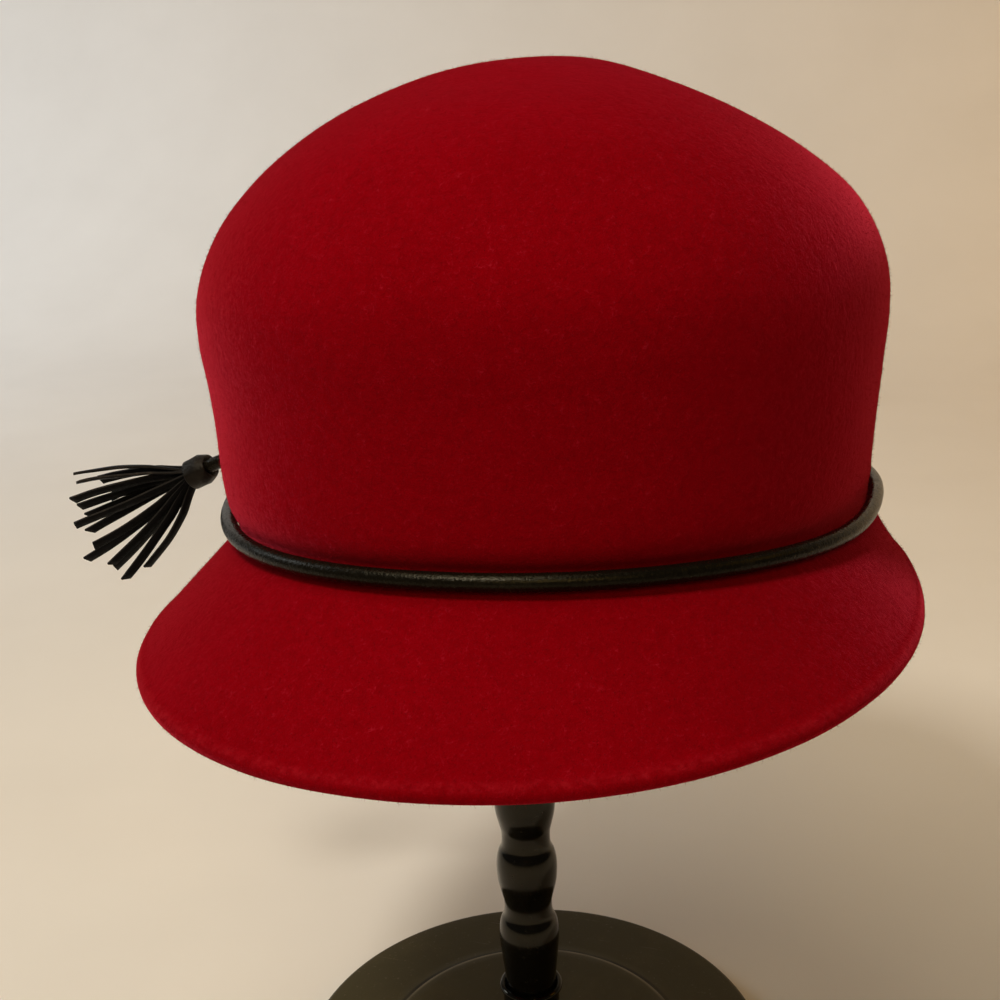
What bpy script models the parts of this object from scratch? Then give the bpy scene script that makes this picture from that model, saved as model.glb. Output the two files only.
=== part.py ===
"""Felt cloche hat with a round leather cord band and a leather tassel, resting on a turned hat stand.

The stand's axis is the Z axis, its foot stands on Z = 0 and the front of the hat looks along -Y.
"""
import math

import bmesh
import bpy
from mathutils import Matrix, Vector

# All pieces that touch are kept this far apart.
CLEARANCE = 0.0003

# Stand base: a thin turned disc with a raised middle.
BASE_RADIUS = 0.0754
BASE_THICKNESS = 0.0090
BASE_STEP_SHARE = 0.65
BASE_STEP_HEIGHT = 0.0008
BASE_EDGE_ROUND = 0.0020
BASE_FOOT_BEVEL = 0.0006

# Collar: the turned cup on the base that the post is glued into.
COLLAR_RADIUS = 0.0101
COLLAR_HEIGHT = 0.0225
COLLAR_LIP = 0.0022
COLLAR_FOOT_RADIUS = 0.0125
COLLAR_SOCKET_DEPTH = 0.0100

# Post: turned bulbs and necks, one unit repeated up to the head.
POST_BULB_RADIUS = 0.0095
POST_NECK_RADIUS = 0.0076
POST_UNIT = 0.0243
POST_UNITS = 9
POST_FOOT_RADIUS = 0.0080
POST_LOWEST_SWELL = 0.0177

# Head: the mushroom the crown sits on.
HEAD_RADIUS = 0.0520
HEAD_DOME_RADIUS = 0.0850
HEAD_DOME_RINGS = 6
HEAD_RIM_ROUND = 0.0035
HEAD_NECK_RADIUS = 0.0125
HEAD_UNDERCUT = 0.0160
HEAD_SOCKET_DEPTH = 0.0120

# Hat body: one piece of felt, blocked into a crown and a turned down brim.
FELT = 0.0021
CROWN_HALF_LENGTH = 0.0988
CROWN_HALF_WIDTH = 0.0851
CROWN_HEIGHT = 0.1216
CROWN_SQUARENESS = 2.15
BEND_RADIUS = 0.0070
BRIM_FRONT = 0.0506
BRIM_SIDE = 0.0270
BRIM_BACK = 0.0228
BRIM_FRONT_SLOPE = math.radians(40)
BRIM_SIDE_SLOPE = math.radians(51)
BRIM_BACK_SLOPE = math.radians(71)
HEM_WIDTH = 0.0090
HEM_STEP = 0.0010
HEM_LAYERS = 2

# The shallow dent in the upper slope of the crown, on the wearer's left.
DENT_DEPTH = 0.0046
DENT_ANGLE = math.radians(101)
DENT_RADIUS = 0.0473
DENT_SPREAD = 0.0276
DENT_LOWEST_SHARE = 0.5

# How the hat sits: where the middle of the break between crown and brim is, its height taken from
# the top of the base, and the hat's tip and lean.
HAT_SHIFT_X = 0.0107
HAT_SHIFT_Y = 0.0069
HAT_BREAK_HEIGHT = 0.1842
HAT_TIP = math.radians(5.4)
HAT_LEAN = math.radians(1.8)

# Band: one round leather cord laid round the break, both its ends running into the tassel.
BAND_RADIUS = 0.0022
BAND_STEPS = 72
BAND_HEIGHT = 0.0019
JOIN_ANGLE = math.radians(-94)
JOIN_HALF_ANGLE = math.radians(7)
STEM_LENGTH = 0.0274
STEM_RISE = -0.0018
STEM_HEIGHT = 0.0030

# Tassel: a leather wrap round the cord ends and round the root of the cut strips.
TASSEL_DROOP = math.radians(24.7)
TASSEL_TURN = math.radians(14)
WRAP_LENGTH = 0.0075
WRAP_WALL = 0.0009
WRAP_ROUND = 0.0004
CORD_IN_WRAP = 0.0030
ROOT_LENGTH = 0.0042
STRIP_WIDTH = 0.0031
STRIP_THICKNESS = 0.0009
STRIP_LENGTH = 0.0400
STRIP_OVERLAP = 0.0006
STRIP_ROOT_INSET = 0.0020
STRIP_SEGMENTS = 4

# Sections of the crown from the break up: height, length and width as shares of the crown's own.
CROWN_SECTIONS = (
    (0.070, 1.028, 1.022),
    (0.130, 1.034, 1.039),
    (0.230, 1.033, 1.053),
    (0.330, 1.039, 1.068),
    (0.420, 1.050, 1.084),
    (0.510, 1.042, 1.083),
    (0.600, 0.995, 1.048),
    (0.690, 0.919, 0.976),
    (0.780, 0.818, 0.854),
    (0.860, 0.674, 0.699),
    (0.920, 0.518, 0.536),
    (0.965, 0.371, 0.359),
    (0.990, 0.200, 0.185),
)

# Bend between crown and brim: share of its turn at each section.
BEND_SHARES = (0.0, 0.33, 0.67, 1.0)

# Collar below its lip: radius as a share of the way from lip to foot, height as a share of the collar.
COLLAR_SECTIONS = (
    (-0.458, 0.883),
    (-0.458, 0.267),
    (0.092, 0.133),
    (1.000, 0.053),
    (1.000, 0.000),
)

# Hollow under the head: radius as a share of the neck, depth as a share of the undercut.
HEAD_UNDER_SECTIONS = (
    (2.20, 0.10),
    (1.25, 0.45),
    (1.00, 1.00),
)

# One turned unit of the post from the top down: depth as a share of the unit, radius as a share of
# the step from neck to bulb.
POST_SECTIONS = (
    (0.00, 0.00),
    (0.18, 0.04),
    (0.29, 0.62),
    (0.40, 0.92),
    (0.53, 1.00),
    (0.70, 0.84),
    (0.86, 0.40),
)

# The foot of the post below the lowest bulb: height as a share of the way from the collar's rim to
# the bulb's widest place, radius as a share of the step from foot to bulb.
POST_FOOT_SECTIONS = (
    (0.62, 0.66),
    (0.30, 0.26),
)

# How the band strays from a level ring that touches the felt: angle from the front and spread in
# degrees, rise and stand-off in radii of the cord. The tassel pulls it up, and it is slack behind.
BAND_SWAYS = (
    (-94, 38, 2.80, 0.00),
    (68, 31, -0.77, 0.00),
    (135, 40, 0.00, 2.05),
)

# Where each end of the band leaves the ring for the tassel: distance out and distance to the side,
# both in radii of the cord.
JOIN_SECTIONS = (
    (0.38, 3.33),
    (1.00, 2.17),
    (2.00, 1.42),
)

# The two cord ends on the stem: place as a share of the stem, gap to the middle in spacings.
STEM_SECTIONS = (
    (0.38, 1.16),
    (0.60, 1.00),
    (0.82, 1.00),
)

# Hollow of the wrap: place as a share of its length, half width and half height in cord radii. It is
# flat round the two cord ends and opens out round the strips.
WRAP_SECTIONS = (
    (0.00, 2.38, 1.32),
    (0.35, 2.45, 1.86),
    (1.00, 2.40, 1.80),
)

# Tassel strips: rise above the tassel's axis and turn to the front in degrees, length as a share of
# the strip length, height and side of the root as shares of the root's, then bend and roll about
# the strip's own length in degrees.
STRIPS = (
    (34, 0, 0.98, 0.95, -0.10, -10, 4),
    (27, -10, 0.87, 0.85, -0.50, -9, 66),
    (27, 4, 0.93, 0.75, 0.50, -6, 12),
    (20, 2, 1.02, 0.58, 0.30, -7, 44),
    (11, -4, 1.05, 0.45, 0.00, -2, 46),
    (17, -12, 0.85, 0.55, -0.80, -9, 76),
    (4, -6, 1.04, 0.30, -0.30, 0, 56),
    (5, -16, 0.71, 0.15, -0.95, -3, 70),
    (1, 4, 1.06, 0.20, 0.50, 2, 40),
    (-1, -2, 1.04, 0.15, 0.10, -1, 46),
    (-16, 4, 1.02, -0.25, 0.40, 8, 48),
    (-16, -4, 1.24, -0.35, -0.10, 6, 48),
    (-23, 2, 1.02, -0.40, 0.30, 4, 38),
    (-23, -8, 1.16, -0.50, -0.50, 4, 34),
    (-31, 0, 1.06, -0.65, 0.10, 4, 40),
    (-44, -4, 0.90, -0.95, -0.20, 13, 24),
)

# Share of its rise a strip has at its root, and how fast it gains the rest.
STRIP_RISE_AT_ROOT = 0.80
STRIP_RISE_GROWTH = 0.60

RING_STEPS = 48
POST_STEPS = 18
SMALL_STEPS = 24
HEAD_STEPS = 32
BASE_STEPS = 48
REST_SAMPLES = 12


def clear_scene():
    for obj in list(bpy.data.objects):
        bpy.data.objects.remove(obj, do_unlink=True)


def make_material(name, colour, roughness, metallic=0.0):
    material = bpy.data.materials.new(name)
    material.use_nodes = True
    shader = material.node_tree.nodes["Principled BSDF"]
    shader.inputs["Base Color"].default_value = (*colour, 1.0)
    shader.inputs["Roughness"].default_value = roughness
    shader.inputs["Metallic"].default_value = metallic
    material.diffuse_color = (*colour, 1.0)
    return material


def add_object(name, mesh, material, collection):
    obj = bpy.data.objects.new(name, mesh)
    mesh.materials.clear()
    mesh.materials.append(material)
    collection.objects.link(obj)
    return obj


def shade_smooth(mesh):
    for polygon in mesh.polygons:
        polygon.use_smooth = True


def turned(name, profile, steps, material, collection, closed=False):
    """A turned piece: the profile of radius and height pairs runs from the top down on the outside."""
    mesh = bpy.data.meshes.new(name)
    points = [(radius, 0.0, height) for radius, height in profile]
    edges = [(i, i + 1) for i in range(len(points) - 1)]
    if closed:
        edges.append((len(points) - 1, 0))
    mesh.from_pydata(points, edges, [])
    obj = add_object(name, mesh, material, collection)
    screw = obj.modifiers.new("Turn", "SCREW")
    screw.axis = "Z"
    screw.steps = steps
    screw.render_steps = steps
    screw.use_merge_vertices = True
    screw.merge_threshold = 0.00001
    screw.use_smooth_shade = True
    return obj


def arc(centre, radius, start, end, count):
    """Points on an arc in the radius and height plane, angles in degrees from the outward axis."""
    points = []
    for i in range(count + 1):
        angle = math.radians(start + (end - start) * i / count)
        points.append((centre[0] + radius * math.cos(angle), centre[1] + radius * math.sin(angle)))
    return points


def evaluated_mesh(obj):
    depsgraph = bpy.context.evaluated_depsgraph_get()
    mesh = bpy.data.meshes.new_from_object(obj.evaluated_get(depsgraph))
    return mesh


def cord(name, points, radius, material, collection):
    """A round cord along the points, closed at both ends."""
    curve = bpy.data.curves.new(name + "_path", "CURVE")
    curve.dimensions = "3D"
    curve.bevel_depth = radius
    curve.bevel_resolution = 2
    curve.use_fill_caps = True
    curve.resolution_u = 1
    spline = curve.splines.new("POLY")
    spline.points.add(len(points) - 1)
    for target, point in zip(spline.points, points):
        target.co = (*point, 1.0)
    source = bpy.data.objects.new(name + "_path", curve)
    collection.objects.link(source)
    mesh = evaluated_mesh(source)
    world = source.matrix_world.copy()
    bpy.data.objects.remove(source, do_unlink=True)
    weld = bmesh.new()
    weld.from_mesh(mesh)
    bmesh.ops.remove_doubles(weld, verts=weld.verts, dist=0.00001)
    bmesh.ops.recalc_face_normals(weld, faces=weld.faces)
    weld.to_mesh(mesh)
    weld.free()
    shade_smooth(mesh)
    obj = add_object(name, mesh, material, collection)
    obj.matrix_world = world
    return obj


def blend(front, side, back, angle):
    """A size that runs smoothly from front by the sides to back; angle 0 is the front."""
    forward = math.cos(angle)
    return side + 0.5 * (front - back) * forward + (0.5 * (front + back) - side) * forward**2


def oval(angle, half_length, half_width):
    """Radius of the rounded oval at an angle from the front."""
    across = abs(math.sin(angle) / half_width) ** CROWN_SQUARENESS
    along = abs(math.cos(angle) / half_length) ** CROWN_SQUARENESS
    return (across + along) ** (-1.0 / CROWN_SQUARENESS)


def outer_profile(angle):
    """Outside of the felt at one angle: radius and height pairs from the crown down to the brim's edge."""
    crown = []
    for height, length, width in reversed(CROWN_SECTIONS):
        radius = oval(angle, length * CROWN_HALF_LENGTH, width * CROWN_HALF_WIDTH)
        crown.append((radius, height * CROWN_HEIGHT))
    break_radius = oval(angle, CROWN_HALF_LENGTH, CROWN_HALF_WIDTH)
    slope = blend(BRIM_FRONT_SLOPE, BRIM_SIDE_SLOPE, BRIM_BACK_SLOPE, angle)
    reach = blend(BRIM_FRONT, BRIM_SIDE, BRIM_BACK, angle)
    turn = 0.5 * math.pi - slope
    tangent = BEND_RADIUS * math.tan(0.5 * turn)
    bend = []
    for share in BEND_SHARES:
        bearing = turn * share
        bend.append((
            break_radius + BEND_RADIUS * (1 - math.cos(bearing)),
            tangent - BEND_RADIUS * math.sin(bearing),
        ))
    brim = []
    straight = reach - tangent - hem_half()
    hem_start = straight + hem_half() - HEM_WIDTH
    for distance in (0.5 * hem_start, hem_start - HEM_STEP, hem_start, straight):
        brim.append((
            bend[-1][0] + distance * math.cos(slope),
            bend[-1][1] - distance * math.sin(slope),
        ))
    return crown, bend, brim


def hem_half():
    """Half the thickness of the hem, where the felt is turned under and pressed flat."""
    return 0.5 * HEM_LAYERS * FELT


def profile_normals(points):
    """Outward normals along a profile that starts at the top of the crown."""
    normals = []
    for i in range(len(points)):
        before = points[max(i - 1, 0)]
        after = points[min(i + 1, len(points) - 1)]
        run = after[0] - before[0]
        drop = before[1] - after[1]
        size = math.hypot(run, drop)
        normals.append((drop / size, run / size))
    return normals


def dent(angle, radius):
    """Depth of the crown's shallow dent at an angle and a radius from the crown's middle."""
    along = radius * math.cos(angle - DENT_ANGLE) - DENT_RADIUS
    across = radius * math.sin(angle - DENT_ANGLE)
    return DENT_DEPTH * math.exp(-(math.hypot(along, across) / DENT_SPREAD) ** 4)


def felt_profile(angle):
    """Closed wall of the felt at one angle: down the outside, round the hem and up the inside."""
    crown, bend, brim = outer_profile(angle)
    flat = crown + bend + brim
    normals = profile_normals(flat)
    outside = []
    for (radius, height), normal in zip(flat, normals):
        depth = dent(angle, radius) if height > DENT_LOWEST_SHARE * CROWN_HEIGHT else 0.0
        outside.append((radius - depth * normal[0], height - depth * normal[1]))
    edge_normal = normals[-1]
    along = (edge_normal[1], -edge_normal[0])
    half = hem_half()
    edge_centre = (outside[-1][0] - half * edge_normal[0], outside[-1][1] - half * edge_normal[1])
    edge = []
    for bearing in (45, 90, 135):
        rise = half * math.cos(math.radians(bearing))
        out = half * math.sin(math.radians(bearing))
        edge.append((
            edge_centre[0] + rise * edge_normal[0] + out * along[0],
            edge_centre[1] + rise * edge_normal[1] + out * along[1],
        ))
    hem_rows = len(brim) // 2
    walls = [FELT] * (len(flat) - hem_rows) + [2 * half] * hem_rows
    inside = []
    for point, normal, wall in zip(outside, normals, walls):
        inside.append((point[0] - wall * normal[0], point[1] - wall * normal[1]))
    return outside, edge, list(reversed(inside))


def hat_matrix():
    """Places the hat on the stand: tipped front up, leaned, and shifted."""
    tip = Matrix.Rotation(-HAT_TIP, 4, "X")
    lean = Matrix.Rotation(-HAT_LEAN, 4, "Y")
    move = Matrix.Translation((HAT_SHIFT_X, HAT_SHIFT_Y, BASE_THICKNESS + HAT_BREAK_HEIGHT))
    return move @ tip @ lean


def round_hat(angle, radius, height):
    """A point of the hat in its own frame; angle 0 is the front and turns to the wearer's left."""
    return Vector((radius * math.sin(angle), -radius * math.cos(angle), height))


def apex_height(depth):
    return CROWN_HEIGHT - dent(0.0, 0.0) - depth


def felt_mesh(name):
    angles = [2 * math.pi * i / RING_STEPS for i in range(RING_STEPS)]
    walls = []
    for angle in angles:
        outside, edge, inside = felt_profile(angle)
        walls.append(outside + edge + inside)
    rows = len(walls[0])
    place = hat_matrix()
    vertices = [place @ Vector((0.0, 0.0, apex_height(0.0)))]
    for row in range(rows):
        for angle, wall in zip(angles, walls):
            vertices.append(place @ round_hat(angle, *wall[row]))
    vertices.append(place @ Vector((0.0, 0.0, apex_height(FELT))))
    last = len(vertices) - 1
    faces = []
    for step in range(RING_STEPS):
        following = (step + 1) % RING_STEPS
        faces.append((0, 1 + step, 1 + following))
        faces.append((last, last - RING_STEPS + following, last - RING_STEPS + step))
        for row in range(rows - 1):
            upper = 1 + row * RING_STEPS
            lower = upper + RING_STEPS
            faces.append((upper + step, lower + step, lower + following, upper + following))
    mesh = bpy.data.meshes.new(name)
    mesh.from_pydata(vertices, [], faces)
    shape = bmesh.new()
    shape.from_mesh(mesh)
    bmesh.ops.recalc_face_normals(shape, faces=shape.faces)
    bmesh.ops.triangulate(shape, faces=shape.faces)
    shape.to_mesh(mesh)
    shape.free()
    shade_smooth(mesh)
    return mesh


def head_top():
    """Height of the stand's head: the dome lies just under the faces of the crown's inside."""
    place = hat_matrix()
    apex = place @ Vector((0.0, 0.0, apex_height(FELT)))
    columns = []
    for step in range(RING_STEPS):
        angle = 2 * math.pi * step / RING_STEPS
        inside = felt_profile(angle)[2]
        crown = inside[-len(CROWN_SECTIONS):]
        columns.append([place @ round_hat(angle, *pair) for pair in crown] + [apex])
    limits = []
    for column, neighbour in zip(columns, columns[1:] + columns[:1]):
        for row in range(len(CROWN_SECTIONS)):
            corner = column[row]
            for other in (corner, column[row + 1], neighbour[row], neighbour[row + 1]):
                point = 0.5 * (corner + other)
                away = math.hypot(point.x, point.y)
                if away < HEAD_RADIUS:
                    limits.append(point.z + HEAD_DOME_RADIUS - math.sqrt(HEAD_DOME_RADIUS**2 - away**2))
    return min(limits) - CLEARANCE


def resting_radius(angle, height):
    """How far from the hat's middle the cord's centre lies at a height where it just clears the felt."""
    crown, bend, brim = outer_profile(angle)
    line = crown + bend + brim[:1]
    away = BAND_RADIUS + CLEARANCE
    furthest = 0.0
    for near, far in zip(line, line[1:]):
        for i in range(REST_SAMPLES):
            share = i / REST_SAMPLES
            radius = near[0] + share * (far[0] - near[0])
            above = height - near[1] - share * (far[1] - near[1])
            if abs(above) < away:
                furthest = max(furthest, radius + math.sqrt(away**2 - above**2))
    return furthest


def band_point(angle):
    """Centre line of the band: the cord rests in the bend between crown and brim."""
    height = BAND_HEIGHT
    aside = 0.0
    for middle, spread, rise, out in BAND_SWAYS:
        turn = (math.degrees(angle) - middle + 180) % 360 - 180
        share = math.exp(-(turn / spread) ** 2)
        height += rise * share * BAND_RADIUS
        aside += out * share * BAND_RADIUS
    return round_hat(angle, resting_radius(angle, height) + aside, height)


def strand_spacing():
    """Distance of each of the two cord ends from the middle of the stem."""
    return BAND_RADIUS + 0.5 * CLEARANCE


def wrap_hollow(share):
    """Half width and half height of the wrap's hollow at a share of its length."""
    for near, far in zip(WRAP_SECTIONS, WRAP_SECTIONS[1:]):
        if share <= far[0]:
            part = (share - near[0]) / (far[0] - near[0])
            width = near[1] + part * (far[1] - near[1])
            height = near[2] + part * (far[2] - near[2])
            return BAND_RADIUS * width, BAND_RADIUS * height
    return BAND_RADIUS * far[1], BAND_RADIUS * far[2]


def oval_ring(along, half_width, half_height):
    """Points round the tassel's axis at a distance along it."""
    ring = []
    for step in range(SMALL_STEPS):
        angle = 2 * math.pi * step / SMALL_STEPS
        ring.append((along, half_width * math.cos(angle), half_height * math.sin(angle)))
    return ring


def loft(name, rings, looped):
    """Skin through rings of equal count: the last joins the first, or both ends are closed flat."""
    steps = len(rings[0])
    faces = []
    for i in range(len(rings) if looped else len(rings) - 1):
        near = i * steps
        far = (i + 1) % len(rings) * steps
        for step in range(steps):
            following = (step + 1) % steps
            faces.append((near + step, far + step, far + following, near + following))
    if not looped:
        faces.append(tuple(range(steps)))
        faces.append(tuple(reversed(range((len(rings) - 1) * steps, len(rings) * steps))))
    mesh = bpy.data.meshes.new(name)
    mesh.from_pydata([point for ring in rings for point in ring], [], faces)
    shape = bmesh.new()
    shape.from_mesh(mesh)
    bmesh.ops.recalc_face_normals(shape, faces=shape.faces)
    shape.to_mesh(mesh)
    shape.free()
    return mesh


def wrap_mesh(name):
    """Leather wrap: down its outside from the strips' end, round its edges and back along its hollow."""
    outside = []
    inside = []
    for share, width, height in WRAP_SECTIONS:
        half_width, half_height = wrap_hollow(share)
        along = min(max(share * WRAP_LENGTH, WRAP_ROUND), WRAP_LENGTH - WRAP_ROUND)
        outside.append(oval_ring(along, half_width + WRAP_WALL, half_height + WRAP_WALL))
        inside.append(oval_ring(share * WRAP_LENGTH, half_width, half_height))
    ends = []
    for share in (0.0, 1.0):
        half_width, half_height = wrap_hollow(share)
        lip = WRAP_WALL - WRAP_ROUND
        ends.append(oval_ring(share * WRAP_LENGTH, half_width + lip, half_height + lip))
    return loft(name, [ends[0], *outside, ends[1], *reversed(inside)], True)


def root_mesh(name):
    """Rolled root of the strips, which fills its end of the wrap."""
    rings = []
    for along in (WRAP_LENGTH - ROOT_LENGTH, WRAP_LENGTH - 0.5 * ROOT_LENGTH, WRAP_LENGTH):
        half_width, half_height = wrap_hollow(along / WRAP_LENGTH)
        rings.append(oval_ring(along, half_width - CLEARANCE, half_height - CLEARANCE))
    return loft(name, rings, False)


def tassel_frame():
    """Frame of the join: X runs out from the hat, Z up, and the origin is on the band."""
    centre = band_point(JOIN_ANGLE)
    outward = round_hat(JOIN_ANGLE, 1.0, 0.0)
    sideways = Vector((0.0, 0.0, 1.0)).cross(outward)
    base = Matrix((
        (outward.x, sideways.x, 0.0, centre.x),
        (outward.y, sideways.y, 0.0, centre.y),
        (0.0, 0.0, 1.0, centre.z),
        (0.0, 0.0, 0.0, 1.0),
    ))
    return base


def stem_point(share):
    """Middle of the two cord ends in the join's frame: they spring up a little, then droop."""
    reach = STEM_LENGTH / 3
    aim = Vector((
        math.cos(TASSEL_TURN) * math.cos(TASSEL_DROOP),
        math.sin(TASSEL_TURN) * math.cos(TASSEL_DROOP),
        -math.sin(TASSEL_DROOP),
    ))
    start = Vector((0.0, 0.0, 0.0))
    finish = Vector((STEM_LENGTH, 0.0, STEM_RISE))
    first = Vector((reach, 0.0, 0.5 * STEM_HEIGHT))
    second = finish - reach * aim
    rest = 1.0 - share
    return (
        rest**3 * start
        + 3 * rest**2 * share * first
        + 3 * rest * share**2 * second
        + share**3 * finish
    )


def wrap_matrix():
    """Frame of the wrap: its own X axis is the tassel's axis."""
    start = Matrix.Translation(stem_point(1.0))
    turn = Matrix.Rotation(TASSEL_TURN, 4, "Z")
    droop = Matrix.Rotation(TASSEL_DROOP, 4, "Y")
    return hat_matrix() @ tassel_frame() @ start @ turn @ droop


def band_path():
    """Centre line of the cord: in from the tassel, once round the hat, and out to the tassel."""
    place = hat_matrix()
    frame = place @ tassel_frame()
    wrap = wrap_matrix()
    spacing = strand_spacing()
    ring = []
    span = 2 * math.pi - 2 * JOIN_HALF_ANGLE
    for i in range(BAND_STEPS + 1):
        angle = JOIN_ANGLE + JOIN_HALF_ANGLE + span * i / BAND_STEPS
        ring.append(place @ band_point(angle))
    ends = []
    for side in (-1, 1):
        end = []
        for out, aside in JOIN_SECTIONS:
            end.append(frame @ Vector((out * BAND_RADIUS, side * aside * BAND_RADIUS, 0.0)))
        for share, gap in STEM_SECTIONS:
            end.append(frame @ (stem_point(share) + Vector((0.0, side * gap * spacing, 0.0))))
        for depth in (0.0, CORD_IN_WRAP):
            end.append(wrap @ Vector((depth, side * spacing, 0.0)))
        ends.append(end)
    first_side = ends[1] if (ring[0] - ends[1][0]).length < (ring[0] - ends[0][0]).length else ends[0]
    last_side = ends[0] if first_side is ends[1] else ends[1]
    return list(reversed(first_side)) + ring + last_side


def strip_mesh(name, row):
    """One cut leather strip in the wrap's frame."""
    rise, turn, length, up, side, bend, roll = row
    reach = STRIP_LENGTH * length
    half_width, half_height = wrap_hollow(1.0)
    start = Vector((
        WRAP_LENGTH - STRIP_OVERLAP,
        side * (half_width - CLEARANCE - STRIP_ROOT_INSET),
        up * (half_height - CLEARANCE - STRIP_ROOT_INSET),
    ))
    shape = bmesh.new()
    bmesh.ops.create_grid(shape, x_segments=STRIP_SEGMENTS, y_segments=1, size=0.5)
    heading = math.radians(turn)
    for vertex in shape.verts:
        share = vertex.co.x + 0.5
        across = vertex.co.y * STRIP_WIDTH
        risen = min(1.0, STRIP_RISE_AT_ROOT + STRIP_RISE_GROWTH * share)
        climb = math.radians(rise * risen + bend * share)
        travel = reach * share
        along = Vector((math.cos(climb) * math.cos(heading), math.sin(heading), math.sin(climb)))
        flat = Vector((-math.sin(heading), math.cos(heading), 0.0))
        upward = Vector((-math.sin(climb), 0.0, math.cos(climb)))
        tilt = flat * math.cos(math.radians(roll)) + upward * math.sin(math.radians(roll))
        vertex.co = start + along * travel + tilt * across
    mesh = bpy.data.meshes.new(name)
    shape.to_mesh(mesh)
    shape.free()
    return mesh


def build():
    clear_scene()
    collection = bpy.data.collections.new("cloche_hat_on_turned_stand")
    bpy.context.scene.collection.children.link(collection)
    cutters = bpy.data.collections.new("tools")
    bpy.context.scene.collection.children.link(cutters)

    red_felt = make_material("red_felt", (0.190, 0.002, 0.004), 0.92)
    cord_leather = make_material("black_cord_leather", (0.012, 0.012, 0.011), 0.38)
    strip_leather = make_material("black_strip_leather", (0.010, 0.009, 0.009), 0.62)
    black_lacquer = make_material("black_lacquer", (0.008, 0.008, 0.007), 0.12)
    satin_black = make_material("satin_black", (0.020, 0.017, 0.013), 0.42)

    # Base disc with its raised middle, flat underneath.
    top = BASE_THICKNESS
    low = BASE_THICKNESS - BASE_STEP_HEIGHT
    step_radius = BASE_STEP_SHARE * BASE_RADIUS
    rounding = BASE_EDGE_ROUND
    base_profile = [(0.0, top), (step_radius - BASE_STEP_HEIGHT, top), (step_radius, low)]
    base_profile += arc((BASE_RADIUS - rounding, low - rounding), rounding, 90, 0, 3)
    base_profile += [(BASE_RADIUS, BASE_FOOT_BEVEL), (BASE_RADIUS - BASE_FOOT_BEVEL, 0.0), (0.0, 0.0)]
    turned("stand_base", base_profile, BASE_STEPS, satin_black, collection)

    # Collar with a rounded lip and a socket for the post.
    foot = top + CLEARANCE
    rim = foot + COLLAR_HEIGHT
    socket_radius = POST_FOOT_RADIUS + CLEARANCE
    socket_floor = rim - COLLAR_SOCKET_DEPTH
    lip = 0.5 * COLLAR_LIP
    collar_profile = [(0.0, socket_floor), (socket_radius, socket_floor), (socket_radius, rim - lip)]
    collar_profile += arc((COLLAR_RADIUS - lip, rim - lip), lip, 125, -60, 5)
    for spread, share in COLLAR_SECTIONS:
        radius = COLLAR_RADIUS + spread * (COLLAR_FOOT_RADIUS - COLLAR_RADIUS)
        collar_profile.append((radius, foot + share * COLLAR_HEIGHT))
    collar_profile.append((0.0, foot))
    turned("stand_collar", collar_profile, SMALL_STEPS, black_lacquer, collection)

    # Post: repeated bulbs and necks between the collar's socket and the head's socket.
    head_height = head_top()
    dome_drop = HEAD_DOME_RADIUS - math.sqrt(HEAD_DOME_RADIUS**2 - (HEAD_RADIUS - HEAD_RIM_ROUND) ** 2)
    head_rim = head_height - dome_drop
    head_under = head_rim - 2 * HEAD_RIM_ROUND - HEAD_UNDERCUT
    post_bottom = socket_floor + CLEARANCE
    post_top = head_under + HEAD_SOCKET_DEPTH
    lowest_swell = rim + POST_LOWEST_SWELL
    widest_depth = max(POST_SECTIONS, key=lambda section: section[1])[0]
    lowest_unit_top = lowest_swell + widest_depth * POST_UNIT
    swell = POST_BULB_RADIUS - POST_NECK_RADIUS
    post_profile = [(0.0, post_top), (POST_NECK_RADIUS, post_top)]
    for unit in range(POST_UNITS - 1, -1, -1):
        unit_top = lowest_unit_top + unit * POST_UNIT
        for depth, share in POST_SECTIONS:
            if unit > 0 or depth <= widest_depth:
                post_profile.append((POST_NECK_RADIUS + swell * share, unit_top - depth * POST_UNIT))
    foot_swell = POST_BULB_RADIUS - POST_FOOT_RADIUS
    for share_up, share_out in POST_FOOT_SECTIONS:
        post_profile.append((POST_FOOT_RADIUS + foot_swell * share_out, rim + share_up * POST_LOWEST_SWELL))
    post_profile += [
        (POST_FOOT_RADIUS, rim),
        (POST_FOOT_RADIUS, post_bottom),
        (0.0, post_bottom),
    ]
    turned("stand_post", post_profile, POST_STEPS, black_lacquer, collection)

    # Head: a mushroom with a domed top, hollowed underneath round the post.
    neck_hole = POST_NECK_RADIUS + CLEARANCE
    socket_top = post_top + CLEARANCE
    head_profile = []
    limit = math.asin((HEAD_RADIUS - HEAD_RIM_ROUND) / HEAD_DOME_RADIUS)
    for i in range(HEAD_DOME_RINGS + 1):
        bearing = limit * i / HEAD_DOME_RINGS
        drop = HEAD_DOME_RADIUS * (1 - math.cos(bearing))
        head_profile.append((HEAD_DOME_RADIUS * math.sin(bearing), head_height - drop))
    head_profile += arc((HEAD_RADIUS - HEAD_RIM_ROUND, head_rim - HEAD_RIM_ROUND), HEAD_RIM_ROUND, 45, -90, 4)
    for share_out, share_down in HEAD_UNDER_SECTIONS:
        under = head_rim - 2 * HEAD_RIM_ROUND - share_down * HEAD_UNDERCUT
        head_profile.append((share_out * HEAD_NECK_RADIUS, under))
    head_profile += [(neck_hole, head_under), (neck_hole, socket_top), (0.0, socket_top)]
    turned("stand_head", head_profile, HEAD_STEPS, black_lacquer, collection)

    # Felt body.
    add_object("felt_body", felt_mesh("felt_body"), red_felt, collection)

    # Leather cord band.
    cord("band_cord", band_path(), BAND_RADIUS, cord_leather, collection)

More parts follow.
